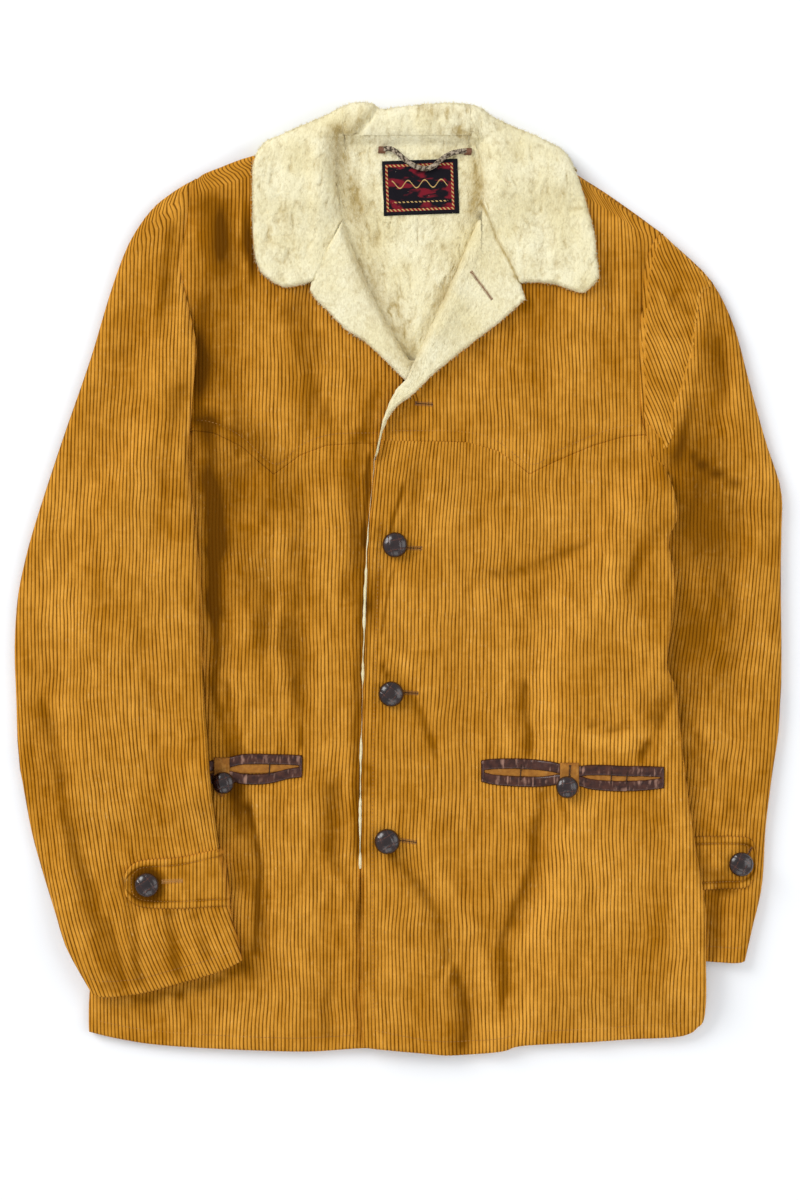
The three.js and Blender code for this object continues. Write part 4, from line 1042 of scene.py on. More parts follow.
def sleeve(name, node, axis, inner, outer, top, cuff_end, floor_at, folds, seed, cap=None):
    """A laid sleeve: its upper side with ribs, its under side plainer."""
    grain = Grain(axis)
    edges = [grain.flat(flowing(line)) for line in (inner, outer)]
    edges.sort(key=lambda line: line[:, 0].mean())
    start, end = grain.flat([(-450, top), (450, top)]), grain.flat(flowing(cuff_end))
    reach = [x for x, y in outer + inner]
    fine = creases_over((min(reach), max(reach), -370, 340), sleeve_creases, seed)
    sides = []
    for upper in (True, False):
        spacing = wale_pitch / 4 if upper else wale_pitch
        sheet, off, along, fall, lost = cut_cloth(
            spacing,
            lambda s: x_on(edges[0], s), lambda s: x_on(edges[1], s),
            lambda w: y_on(start, w), lambda w: y_on(end, w),
            stations(560, 6.5 if upper else 9),
            [(sleeve_rim, sleeve_rim_fall), (sleeve_rim, sleeve_rim_fall), (2.6, 1.7), (2.2, 1.6)],
        )
        inside = ramp(np.minimum(off - x_on(edges[0], along), x_on(edges[1], along) - off), 0, 24)
        wander = 1.6 * drift(off, along, 52, seed + 11) + 0.7 * drift(off, along, 21, seed + 12)
        x, y = grain.laid(off + inside * wander, along)
        if cap:
            over = inside * ramp(y - y_on(flowing(outer[:9]), x), -26, -3) * ramp(y, 262, 300)
            x, y = x + cap[0] * over, y + cap[1] * over
        wale = off / wale_pitch
        big, small = folds_at(x, y, folds, seed), folds_at(x, y, fine, seed + 7)
        hem_fall = channel_at(x, y, [np.array(cuff_end) + (0, 14)])
        if upper:
            still = ramp(fall, 3, 0)
            rumple = 0.6 * drift(x, y, 36, seed + 1) + 0.35 * drift(x, y, 16, seed + 2)
            high = floor_at(x, y) + sleeve_loft - fall + wale_height(wale) - hem_fall
            high += (big + small + rumple) * (0.3 + 0.7 * still)
        else:
            high = floor_at(x, y) + np.minimum(fall, 6.4) + 0.05
        # Painted light and shade: ridges lighter, troughs and the hem channel darker, plus the painted
        # shadows and highlights of sleeve_shades.
        shade = 0.08 * big + 0.35 * small - 0.5 * hem_fall + folds_at(x, y, sleeve_shades, 93)
        place_points(sheet, np.column_stack([x, y, high]), {"wale": wale, "along": along, "painted_light_and_tone": shade})
        trimmed(sheet, lost)
        sides.append(sheet if upper else turned_down(sheet))
    return cloth_piece(name, joined(sides), corduroy, node)


right_sleeve = sleeve(
    "sleeve_over_front", "sleeve_right", right_axis, right_inner, right_outer, 363, right_cuff_end,
    right_sleeve_floor, right_sleeve_folds, 41, cap=(-13, -10),
)
left_sleeve = sleeve(
    "sleeve_under_body", "sleeve_left", left_axis, left_inner, left_outer, 314, left_cuff_end,
    lambda x, y: 0 * x, left_sleeve_folds, 61,
)


# Fold at the top of the left sleeve: its corduroy lies double beside the
# armhole, as the sleeve bends down there, and its ribs lean across the sleeve's.

wing_inner = [
    (236, 314), (226, 296), (219.5, 266), (221, 250), (216, 229), (216, 185), (219, 148), (225, 131),
    (231, 118), (234.5, 111),
]
wing_outer = [
    (238, 312), (260, 290), (280, 267.5), (275, 262), (270, 252), (267, 222), (261, 180), (253.5, 155),
    (246, 130), (236, 111),
]
wing_low, wing_top, wing_middle = 111.0, 313.5, 210.0
wing_lift = 2.1
wing_sink = 3.2
lean = math.tan(math.radians(21))
wing_folds = [
    ([(232, 270), (246, 252), (258, 240)], 5, -1.0),
    ([(226, 238), (240, 244), (252, 262)], 4, -1.1),
    ([(240, 270), (240, 200), (234, 140)], 8, 0.8),
    ([(226, 146), (236, 138), (244, 131)], 3, 1.1),
    ([(226, 138), (232, 130), (238, 124)], 2.4, -1.2),
]

wing_in, wing_out = flowing(wing_inner), flowing(wing_outer)
sheet, across, along, fall, lost = cut_cloth(
    wale_pitch / 4,
    lambda s: x_on(wing_in, s) + (s - wing_middle) * lean,
    lambda s: x_on(wing_out, s) + (s - wing_middle) * lean,
    lambda w: wing_low + 0 * w, lambda w: wing_top + 0 * w,
    stations(202, 4), [(4, 4.5), (1.6, 1.5), (2, 1.2), (3, 3)],
)
wale = across / wale_pitch
x = across - (along - wing_middle) * lean
inside = ramp(np.minimum(x - x_on(wing_in, along), x_on(wing_out, along) - x), 0, 16)
x = x + inside * (1.6 * drift(across, along, 30, 77) + 0.7 * drift(across, along, 14, 78))
folded = folds_at(x, along, wing_folds, 79)
rim = rim_drop(x_on(left_outer, along) - x, sleeve_rim, sleeve_rim_fall) * ramp(along, 240, 262)
sunk = wing_sink * ramp(x_on(left_armhole, along) - x, -9, 1)
high = sleeve_loft - rim + wing_lift + folded - fall - sunk + wale_height(wale)
# Painted light and shade along the folds, and a painted highlight along the folded outer edge.
shade = 0.35 * folded + 1.9 * ramp(x - x_on(wing_out, along), -3.5, -0.5)
place_points(sheet, np.column_stack([x, along, high]), {"wale": wale, "along": along, "painted_light_and_tone": shade})
wing = cloth_piece("sleeve_fold", trimmed(sheet, lost), corduroy, "sleeve_left")


# Neck lining: cream curled pile inside the back, which shows between the rolls
# of the collar and the lapels. Its locks hang straight down from the neck seam.

pile_spacing = 1.3
stand_seam = 399.0
neck_pile = 3.0
pile_backing = 0.9
wool_light = (0.95, 0.885, 0.62, 1)
wool_middle = (0.86, 0.765, 0.46, 1)
wool_shade_colour = (0.46, 0.34, 0.13, 1)
neck_shades = [
    # painted shade on the pile under the rolls, in hollows and in the gathers of the stand: line in mm, half
    # width, amount
    ([(-53, 398), (-49, 345), (-33, 285), (-12, 238), (6, 205)], 13, -0.55),
    ([(68, 372), (71, 352), (66, 330)], 7, -0.8),
    ([(56, 300), (40, 262), (22, 222)], 6, -0.3),
    ([(-52, 404), (-36, 408)], 6, -0.25),
    ([(-20, 424), (-30, 408), (-46, 400)], 2.4, -0.3),
    ([(-34, 421), (-38, 411)], 3, -0.4),
    ([(-10, 424), (20, 424), (60, 424)], 7, -0.10),
    ([(8, 425), (9, 410)], 1.6, -0.35),
    ([(20, 424), (19, 408)], 1.4, -0.35),
    ([(31, 424), (33, 409)], 1.4, -0.35),
    ([(44, 424), (45, 412)], 1.6, -0.4),
    ([(54, 404), (62, 400)], 6, -0.5),
    ([(74, 337), (86, 312), (107, 268)], 1.6, -0.8),
    ([(-30, 416), (10, 420), (50, 418)], 5, -0.15),
    ([(-90, 268), (-100, 320)], 8, -0.12),
]


def pile_at(x, y, seed, coarse, stretch):
    """Height of curled locks of pile, longer one way than the other."""
    u = x + 2.4 * drift(x, y, 11, seed) + 1.0 * drift(x, y, 4.5, seed + 1)
    v = (y + 3.0 * drift(x, y, 13, seed + 2)) * stretch
    parting = np.exp(-((drift(u, v, 6.2, seed + 3) / 0.2) ** 2)) * ramp(drift(u, v, 4.7, seed + 6), -0.2, 0.6)
    lock = np.exp(-((drift(u, v * 1.2, 3.1, seed + 4) / 0.3) ** 2))
    lock = lock * ramp(drift(u, v, 3.7, seed + 7), -0.3, 0.6)
    swell = 0.45 * drift(u, v, 8.0, seed + 10) + 0.35 * drift(u, v * 1.3, 3.2, seed + 11)
    grain = drift(x, y, 1.5, seed + 5)
    return 1.45 * coarse * (1 - 0.75 * parting - 0.5 * lock + 0.5 * swell) + 0.3 * grain


wool, tree, shader = plain_material("cream_pile")
place = wire(tree, "TexCoord").outputs["Object"]
hair_lie = {"Vector": place, "Scale": (1.0, 0.42, 0.6), "Rotation": (0, 0, 0.12)}
hair_lie = wire(tree, "Mapping", hair_lie).outputs[0]
curls = noise(tree, hair_lie, 640.0, 5.0, Roughness=0.62, Distortion=0.8)
cells = Level(tree, wire(tree, "TexVoronoi", {"Vector": place, "Scale": 420.0}).outputs["Distance"])
stain = noise(tree, place, 26.0, 3.0)
# Low pile levels, in the hollows between locks and where shade is painted, take the painted shade colour.
light = (read(tree, "pile") + (curls - 0.5) * 0.9).spread(0.0, 0.75)
body_tone = blend_of(tree, stain.spread(0.35, 0.7), wool_middle, wool_light)
feed(tree, shader, {
    "Base Color": blend_of(tree, light, wool_shade_colour, body_tone),
    "Normal": grained(tree, curls - cells * 0.5, 0.75, 0.0012),
    "Roughness": 0.95,
    "Specular IOR Level": 0.03,
    "Sheen Weight": 0.2,
    "Sheen Roughness": 0.6,
    "Sheen Tint": (1.0, 0.95, 0.82, 1),
})


def pile_patch(left, right, low, top, high_at, rims, seed, coarse, stretch):
    """A stretch of pile between its sides and ends, in a bmesh."""
    near = np.linspace(-140, 190, 300)
    reach = float(np.max(top(near) - low(near)))
    shares = stations(reach, pile_spacing * 1.15, (0, 0.5, 1.2, 2.1, 3.2, 4.5))
    sheet, x, y, fall, lost = cut_cloth(pile_spacing, left, right, low, top, shares, rims)
    tuft = pile_at(x, y, seed, coarse, stretch)
    high = high_at(x, y) - fall + 0.85 * tuft - 0.6
    wander = 0.55 * drift(x, y, 2.1, seed + 8) + 0.35 * tuft
    sway = 0.55 * drift(x, y, 2.3, seed + 9)
    points = np.column_stack([x + wander * 0.6, y + sway, high])
    # The pile level is lower in the hollows between locks and along neck_shades: painted shade in the
    # material.
    place_points(sheet, points, {
        "pile": np.clip(0.66 + 0.30 * (tuft - 1.25 * coarse) + folds_at(x, y, neck_shades, 95), 0, 1),
    })
    return trimmed(sheet, lost)


def lining_high(x, y):
    return back_high(x, y) + seam_gap + neck_pile


def neck_face(x, y):
    """The lining with its climb to the neck seam."""
    return lining_high(x, y) + 6.6 * ramp(y, 391, 399.5)


right_roll_line = flowing(right_roll)
left_roll_line = flowing(left_roll)


def neck_low(x):
    right_part = y_on(right_roll_line[:-12], np.clip(x, -57, 8))
    left_part = y_on(left_roll_line[:-14], np.clip(x, 13, 73))
    return np.where(x < 8, right_part, np.where(x > 13, left_part, 197)) - 9


lining = cloth_piece("neck_lining", pile_patch(
    lambda y: x_on(right_roll_line, y) - 5, lambda y: x_on(left_roll_line, y) + 5,
    neck_low, lambda x: stand_seam + np.where((x < -50) | (x > 62), 9, 1.5),
    neck_face, [(0.1, 0)] * 4, 101, 1.0, 0.38,
), wool, "back_neck_lining", pile_backing)


# Collar: pile outside and corduroy inside, sewn round the neck. It stands at the
# back, rolls over and lies on the shoulders in two rounded leaves.

facing_pile = 5.5
corduroy_layer = 1.2
right_gorge, left_gorge = (-50, 319), (74, 338)
right_notch, left_notch = (-79, 268.5), (107, 267.5)
crest_y, crest_high, crest_half = 419.0, 26.0, 22.0
collar_rim_high = 8.5
collar_roll = [
    (-133, 379), (-131, 383), (-122, 395), (-109, 401), (-89, 410), (-67, 419), (-50, 428), (-35, 431),
    (-24, 429), (-17, 424.5), (-4, 426), (22, 429), (52, 430), (70, 427), (85, 417), (107, 407), (126, 399),
    (149, 386), (158, 370),
]
right_leaf_side = [(-116, 269), (-127, 280), (-132, 302), (-133, 332), (-133, 345), (-132.5, 382)]
right_leaf_low = [(-133, 302), (-131, 288), (-126, 277), (-116, 269), (-103, 263.5), (-89, 266), (-79, 268.5)]
left_leaf_side = [(170, 262), (179, 271), (177, 291), (175, 311), (166, 345), (157, 371), (149, 386)]
left_leaf_low = [(107, 267.5), (122, 268), (140, 266), (161, 259), (170, 262), (179, 272)]
collar_creases = [
    ([(-16, 428), (-24, 416), (-40, 404), (-48, 398)], 3.2, -5.0),
    ([(-30, 425), (-36, 414), (-50, 404)], 7, 2.4),
    ([(-60, 400), (-66, 380), (-68, 350)], 13, 1.8),
    ([(-96, 395), (-98, 350), (-110, 300)], 10, 1.1),
    ([(-112, 360), (-106, 320), (-96, 284)], 4.5, -1.2),
    ([(-84, 372), (-82, 330), (-88, 290)], 4.5, -1.0),
    ([(-120, 330), (-116, 300), (-104, 276)], 4, -1.1),
    ([(86, 408), (92, 380), (94, 350)], 12, 1.6),
    ([(120, 380), (122, 330), (134, 290)], 5, -1.1),
    ([(104, 360), (110, 310), (120, 280)], 8, 1.0),
    ([(150, 350), (154, 310), (156, 280)], 5, -0.9),
    ([(10, 428), (8, 414), (12, 402)], 4, -1.3),
    ([(34, 430), (36, 415), (30, 401)], 4, -1.2),
    ([(52, 428), (50, 416), (56, 404)], 4, -1.5),
    ([(-4, 426), (-6, 412), (-2, 401)], 5, 1.0),
]


def facing_high(front_high):
    """The top of pile and corduroy turned over a front."""
    return lambda x, y: front_high(x, y) + 2 * seam_gap + corduroy_layer + facing_pile


over_right = facing_high(right_front_high)
over_left = facing_high(left_front_high)


def collar_high(x, y):
    """The collar's face: leaves on the shoulders, a crest at the back of the neck."""
    leaf = np.where(x < 8, over_right(x, y), over_left(x, y))
    base = over_right(x, y) - facing_pile
    arch = np.clip(1 - ((y - crest_y) / crest_half) ** 2, 0, 1)
    stand = base + (crest_high - base) * np.sqrt(arch)
    middle = ramp(x, -78, -50) * ramp(-x, -90, -62)
    roll_away = np.where(x < 8, x_on(right_roll_line, y) - x, x - x_on(left_roll_line, y))
    puff = 3.4 * np.exp(-(((roll_away - 9) / 15) ** 2)) * (1 - middle) * ramp(y, 300, 350)
    beyond = ramp(y - np.where(x < 8, y_on(right_shoulder, x), y_on(left_shoulder, x)), -8, 26)
    folds = folds_at(x, y, collar_creases, 71)
    return leaf * (1 - middle) + stand * middle + puff + folds - 2.5 * beyond * (1 - middle)


def collar_top(x):
    return y_on(flowing(collar_roll), x)


def right_leaf_inner(y):
    gorge = np.interp(y, [right_notch[1], right_gorge[1]], [right_notch[0], right_gorge[0]])
    upper = np.where(y > stand_seam, -50.0, x_on(right_roll_line, y))
    return np.where(y < right_gorge[1], gorge, upper)


def left_leaf_inner(y):
    gorge = np.interp(y, [left_notch[1], left_gorge[1]], [left_notch[0], left_gorge[0]])
    upper = np.where(y > stand_seam, 62.0, x_on(left_roll_line, y))
    return np.where(y < left_gorge[1], gorge, upper)


def right_leaf_bottom(x):
    gorge = np.interp(x, [right_notch[0], right_gorge[0]], [right_notch[1], right_gorge[1]])
    return np.where(x > right_notch[0], gorge, y_on(flowing(right_leaf_low), x))


def left_leaf_bottom(x):
    gorge = np.interp(x, [left_gorge[0], left_notch[0]], [left_gorge[1], left_notch[1]])
    inner = np.where(x < left_gorge[0], left_gorge[1] + (left_gorge[0] - x) * 9, gorge)
    return np.where(x < left_notch[0], np.minimum(inner, 399), y_on(flowing(left_leaf_low), x))


def roll_fall(x, y):
    """The roll's fall to the neck lining along its inner side."""
    away = np.where(x < 8, x_on(right_roll_line, y) - x, x - x_on(left_roll_line, y))
    below = ramp(-y, -stand_seam - 9, -stand_seam + 3)
    return below * rim_drop(np.maximum(away, 0), 8, 1) * (collar_high(x, y) - neck_face(x, y) + 0.6)


def leaf_high(x, y):
    top_fall = rim_drop(np.maximum(collar_top(x) - y, 0), 15, 1) * (collar_high(x, y) - collar_rim_high)
    return collar_high(x, y) - np.maximum(top_fall, roll_fall(x, y))


def stand_face(x, y):
    top_fall = rim_drop(np.maximum(collar_top(x) - y, 0), 13, 1) * (collar_high(x, y) - collar_rim_high)
    return collar_high(x, y) - top_fall


leaf_rims, gorge_rim, open_rim = (4.5, 5.0), (1.5, 0.9), (0.1, 0.0)
collar_parts = [
    pile_patch(
        lambda y: x_on(flowing(right_leaf_side), y), right_leaf_inner, right_leaf_bottom, collar_top,
        leaf_high, [leaf_rims, gorge_rim, leaf_rims, open_rim], 121, 0.85, 0.42,
    ),
    pile_patch(
        left_leaf_inner, lambda y: x_on(flowing(left_leaf_side), y), left_leaf_bottom, collar_top,
        leaf_high, [gorge_rim, leaf_rims, leaf_rims, open_rim], 121, 0.85, 0.42,
    ),
    pile_patch(
        lambda y: -51.0 + 0 * y, lambda y: 63.0 + 0 * y, lambda x: stand_seam + 0 * x, collar_top,
        stand_face, [open_rim] * 4, 121, 0.85, 0.42,
    ),
]
fall_sheet, x, y, fall, lost = cut_cloth(
    4.0, lambda s: -133 + 0 * s, lambda s: 160 + 0 * s,
    lambda w: np.minimum(y_on(fall_edge, w) + 6, collar_top(w) - 1), collar_top,
    stations(60, 5, (0, 1, 2.5, 4.5)), [open_rim, open_rim, open_rim, (12, collar_rim_high - 0.4)],
)
under_points = np.column_stack([x, y, 0.4 + fall])
place_points(fall_sheet, under_points, {"pile": 0.5 + 0.3 * drift(x, y, 4, 151)})
collar_parts.append(turned_down(trimmed(fall_sheet, lost)))
collar = cloth_piece("collar", joined(collar_parts), wool, "collar_top", pile_backing)


def under_layer(name, node, left, right, low, top, front_high):
    """The corduroy side of a collar leaf or lapel, a little proud of the pile."""
    sheet, x, y, fall, lost = cut_cloth(
        2.4, lambda s: left(s) - 0.9, lambda s: right(s) + 0.9, lambda w: low(w) - 0.9, top,
        stations(130, 4, (0, 0.6, 1.6, 3)), [(1.2, 1.0)] * 4,
    )
    high = front_high(x, y) + seam_gap + corduroy_layer - fall + 0.8
    place_points(sheet, np.column_stack([x, y, high]), {"wale": x / wale_pitch, "along": y, "painted_light_and_tone": 0 * x})
    return cloth_piece(name, trimmed(sheet, lost), corduroy, node, 1.0)


collar_unders = [
    under_layer(
        "collar_inside_right", "collar_under_right", lambda y: x_on(right_leaf_side, y),
        lambda y: right_leaf_inner(y) - 9, right_leaf_bottom,
        lambda x: y_on(flowing(right_shoulder), x) - 3, right_front_high,
    ),
    under_layer(
        "collar_inside_left", "collar_under_left", lambda y: left_leaf_inner(y) + 9,
        lambda y: x_on(left_leaf_side, y), left_leaf_bottom,
        lambda x: y_on(flowing(left_shoulder), x) - 3, left_front_high,
    ),
]


# Lapels: the tops of the fronts turned back, so that their pile facing shows,
# with the corduroy of the front just peeping out along the edge.

right_lapel_edge = [
    (-80.5, 268), (-81, 261), (-78, 255), (-50, 226), (-31, 214), (-13, 197), (1, 183), (8, 176),
]
left_lapel_edge = [
    (-22, 108), (-21, 112), (-16, 133), (-11, 145), (-3, 156), (12, 167), (28, 183), (52, 203), (92, 234),
    (113, 253), (109, 267),
]
lapel_creases = [
    ([(43, 262), (58, 300), (74, 340)], 5, 1.2),
    ([(66, 300), (78, 330)], 5, -1.0),
    ([(30, 215), (50, 240), (70, 262)], 7, 0.9),
    ([(-60, 262), (-40, 240)], 8, 0.9),
]
lapel_under_leaf = 4.0
roll_foot = (13, 198)


def right_lapel_outer(y):
    gorge = np.interp(y, [right_notch[1], right_gorge[1]], [right_notch[0], right_gorge[0]])
    under = lapel_under_leaf * ramp(y, right_notch[1], right_notch[1] + 9)
    return np.where(y > right_notch[1], gorge - under, x_on(right_lapel_edge, y))


def right_lapel_inner(y):
    return x_on(right_roll_line, y) + 9 * ramp(-y, -205, -196)


def right_lapel_top(x):
    gorge = np.interp(x, [-81, right_gorge[0]], [267, right_gorge[1]])
    gorge = gorge + 2 * lapel_under_leaf * ramp(x, -79, -72)
    return np.where(x < right_gorge[0], gorge, y_on(right_roll_line[:-12], x) + 8 * ramp(-x, 35, 50))


def left_lapel_inner(y):
    return np.where(y > roll_foot[1], x_on(left_roll_line, y), x_on([*front_left_edge, roll_foot], y))


def left_lapel_outer(y):
    gorge = np.interp(y, [left_notch[1], left_gorge[1]], [left_notch[0], left_gorge[0]])
    under = lapel_under_leaf * ramp(y, left_notch[1], left_notch[1] + 9)
    return np.where(y > left_notch[1], gorge + under, x_on(left_lapel_edge, y))


def left_lapel_top(x):
    gorge = np.interp(x, [left_gorge[0], 111], [left_gorge[1], 266])
    gorge = gorge + 2 * lapel_under_leaf * ramp(-x, -108, -101)
    below = y_on([*front_left_edge[-6:], roll_foot], x)
    roll = np.where(x < roll_foot[0], below, y_on(left_roll_line[:-14], x))
    return np.where(x > left_gorge[0], gorge, roll)


def lapel_high(base, away):
    """A lapel's face, plump at the roll and falling there to the lining."""

    def high(x, y):
        off = np.maximum(away(x, y), 0)
        plump = 2.2 * np.exp(-(((off - 9) / 9) ** 2)) * ramp(y, 175, 230)
        top = base(x, y) + plump + folds_at(x, y, lapel_creases, 77)
        return top - rim_drop(off, 6.5, 1) * (top - neck_face(x, y) + 0.6) * ramp(y, 194, 206)

    return high


def right_roll_away(x, y):
    return right_lapel_inner(y) - x


def left_roll_away(x, y):
    return x - x_on(left_roll_line, y)


lapel_rims = (3.5, 4.5)
right_lapel = cloth_piece("lapel_right", pile_patch(
    right_lapel_outer, right_lapel_inner,
    lambda x: y_on(right_lapel_edge[1:], x), right_lapel_top,
    lapel_high(over_right, right_roll_away), [lapel_rims, open_rim, lapel_rims, (5, 3.5)], 161, 0.4, 0.7,
), wool, "lapel_right_facing", pile_backing)
left_lapel = cloth_piece("lapel_left", pile_patch(
    left_lapel_inner, left_lapel_outer, lambda x: y_on(left_lapel_edge[:-1], x), left_lapel_top,
    lapel_high(over_left, left_roll_away), [(1.2, 2), lapel_rims, lapel_rims, (5, 3.5)], 171, 0.4, 0.7,
), wool, "lapel_left_facing", pile_backing)
lapel_turns = [
    under_layer(
        "lapel_turn_right", "lapel_right_turn", right_lapel_outer, lambda y: x_on(right_roll_line, y) - 8,
        lambda x: y_on(right_lapel_edge[1:], x), lambda x: right_lapel_top(x) - 2, right_front_high,
    ),
    under_layer(
        "lapel_turn_left", "lapel_left_turn",
        lambda y: left_lapel_inner(y) + np.where(y > roll_foot[1], 8, 0.5), left_lapel_outer,
        lambda x: y_on(left_lapel_edge[:-1], x), lambda x: left_lapel_top(x) - 2, left_front_high,
    ),
]


# Loose fibres: fine locks of wool that stand out of the pile, close together
# round the edges of the collar and lapels and fewer over their faces.

edge_fibres, face_fibres = 5600, 6000
fibre_radius = 0.17
neck_centre = (15, 335)
fluffy_edges = [
    collar_roll, right_leaf_side[1:], right_leaf_low, left_leaf_side[:-1], left_leaf_low,
    right_lapel_edge[1:-1], left_lapel_edge[:-1],
]


def surface_of(*pieces):
    """The height in mm of the highest of some pieces, at places on the table."""
    trees = []
    for obj in pieces:
        corners = [vertex.co for vertex in obj.data.vertices]
        trees.append(BVHTree.FromPolygons(corners, [polygon.vertices for polygon in obj.data.polygons]))

    def high(x, y):
        hits = [tree.ray_cast(Vector((x * MM, y * MM, 0.2)), Vector((0, 0, -1)))[0] for tree in trees]
        return max((hit.z / MM for hit in hits if hit is not None), default=0.0)

    return np.vectorize(high, otypes=[float])


def fibres_from(roots, ways, lengths, seed):
    """A joined mesh of tapered, bent fibres."""
    chance = np.random.default_rng(seed)
    count = len(roots)
    ways = ways / np.linalg.norm(ways, axis=1)[:, None]
    side = np.cross(ways, chance.normal(0, 1, (count, 3)))
    side /= np.linalg.norm(side, axis=1)[:, None]
    over = np.cross(ways, side)
    bend = chance.uniform(0.1, 0.45, count)
    points = np.zeros((count, 7, 3))
    for ring, (share, slim) in enumerate([(0.0, 1.0), (0.55, 0.7)]):
        middle = roots + ways * (lengths * share)[:, None] + side * (bend * lengths * share**2)[:, None]
        for corner in range(3):
            turn = 2 * math.pi * corner / 3
            spoke = side * math.cos(turn) + over * math.sin(turn)
            points[:, ring * 3 + corner] = middle + spoke * fibre_radius * slim
    points[:, 6] = roots + ways * lengths[:, None] + side * (bend * lengths)[:, None]
    shape = [(0, 2, 1), (0, 1, 4, 3), (1, 2, 5, 4), (2, 0, 3, 5), (3, 4, 6), (4, 5, 6), (5, 3, 6)]
    faces = [tuple(7 * number + corner for corner in face) for number in range(count) for face in shape]
    points[..., 2] = np.maximum(points[..., 2], 0.3)
    mesh = bpy.data.meshes.new("fibres")
    mesh.from_pydata((points.reshape(-1, 3) * MM).tolist(), [], faces)
    made = bmesh.new()
    made.from_mesh(mesh)
    bpy.data.meshes.remove(mesh)
    depth_layer = made.verts.layers.float.new("pile")
    tones = np.repeat(chance.uniform(0.55, 1.0, count), 7)
    for vertex, tone in zip(made.verts, tones):
        vertex[depth_layer] = tone
    return made


pile_surface = surface_of(collar, right_lapel, left_lapel, lining)
chance = np.random.default_rng(191)
routes = [flowing(line, 5) for line in fluffy_edges]
reaches = np.array([lengths_of(route)[-1] for route in routes])
roots, ways = [], []
for route, share in zip(routes, reaches / reaches.sum()):
    run = lengths_of(route)
    count = int(edge_fibres * share)
    at = chance.uniform(0, run[-1], count)
    place = np.column_stack([np.interp(at, run, route[:, axis]) for axis in (0, 1)])
    heading = np.column_stack([np.interp(at, run, np.gradient(route[:, axis])) for axis in (0, 1)])
    outward = np.column_stack([heading[:, 1], -heading[:, 0]])
    outward /= np.linalg.norm(outward, axis=1)[:, None]
    outward *= np.sign(np.sum(outward * (place - neck_centre), axis=1))[:, None]
    place -= outward * chance.uniform(0.4, 3.5, count)[:, None]
    high = pile_surface(place[:, 0], place[:, 1])
    roots.append(np.column_stack([place, high - 0.2 - chance.uniform(0, 1.6, count)]))
    outward += chance.normal(0, 0.5, (count, 2))
    ways.append(np.column_stack([outward, chance.uniform(-0.3, 0.7, count)]))
tries = face_fibres * 2
face = np.column_stack([chance.uniform(-133, 180, tries), chance.uniform(110, 430, tries)])
high = pile_surface(face[:, 0], face[:, 1])
face, high = face[high > 8][:face_fibres], high[high > 8][:face_fibres]
roots.append(np.column_stack([face, high - 0.25]))
lie = np.column_stack([chance.normal(0, 0.6, len(face)), chance.normal(-0.8, 0.5, len(face))])
ways.append(np.column_stack([lie, chance.uniform(0.05, 0.5, len(face))]))
roots, ways = np.vstack(roots), np.vstack(ways)
on_pile = roots[:, 2] > 2
roots, ways = roots[on_pile], ways[on_pile]
fibre_lengths = chance.uniform(1.1, 3.2, len(roots)) * chance.uniform(0.6, 1.2, len(roots))
fixed(shown("loose_fibres", fibres_from(roots, ways, fibre_lengths, 192), wool), None)


# Edge of the pile facing, which peeps out along the front edge below the lapel:
# a slim roll of the same curled pile, sewn inside the placket from end to end.

edge_high, edge_low = 120.0, -262.0
edge_tone = 0.62
edge_y = np.arange(edge_high, edge_low, -2.0)
edge_x = x_on(front_left_edge, edge_y) - 1.0 + 0.35 * drift(edge_y, 0 * edge_y, 9, 181)
edge_z = left_front_high(edge_x, edge_y) - 2.9
edge_line = np.column_stack([edge_x, edge_y, edge_z])
edge_radius = 1.55 + 0.45 * drift(edge_y, 3 + 0 * edge_y, 4, 182)
edge_radius *= 0.30 + 0.55 * ramp(drift(edge_y, 5 + 0 * edge_y, 17, 183), -0.5, 0.4)
edge_radius *= 0.2 + 0.8 * ramp(np.abs(edge_y + 118), 20, 34)
edge_radius *= 0.12 + 0.88 * ramp(-edge_y, -54, -34)
fluff = tube_along(edge_line, edge_radius, 8)
depth_layer = fluff.verts.layers.float.new("pile")
for vertex in fluff.verts:
    vertex[depth_layer] = edge_tone
fixed(shown("facing_edge", fluff, wool), "front_left_facing_edge")


# Pockets: each mouth is edged with two welts of dark brown leather, wrinkled by
# use, joined at their ends. A tan suede tab buttons across the middle.

pocket_lines = {
    # x, upper welt, lower welt
    "left": [
        (73, -167, -176.5), (80, -165.8, -178.5), (90, -165.2, -180), (108, -165.2, -181.2),
        (125, -166.2, -181.2), (137, -167.6, -179.6), (143, -169, -178.6), (152, -170, -179),
        (162, -171, -180), (170, -170.2, -182.4), (185, -170.2, -184), (200, -171, -184.4),
        (220, -171.2, -183.6), (237, -172, -181.6),
    ],
    "right": [
        (-252, -171, -182), (-215, -169, -184), (-182, -167, -181.5), (-168, -167, -178),
        (-152, -163.5, -176.5), (-143, -161.4, -178.6), (-130, -160.8, -179.2), (-116, -161.2, -178),
        (-100, -161.6, -174), (-88, -162.4, -172.6),
    ],
}
welt_width, mouth_width, end_width = 9.8, 9.0, 3.6
welt_thick = 1.7
pocket_tabs = {
    # left, right, top, bottom
    "left": (143.5, 160.5, -164, -197),
    "right": (-168, -153.5, -160, -196),
}
mouth_ties = {"left": [(108.5, 6.5), (189, 5), (203, 5)], "right": [(-118, 6)]}


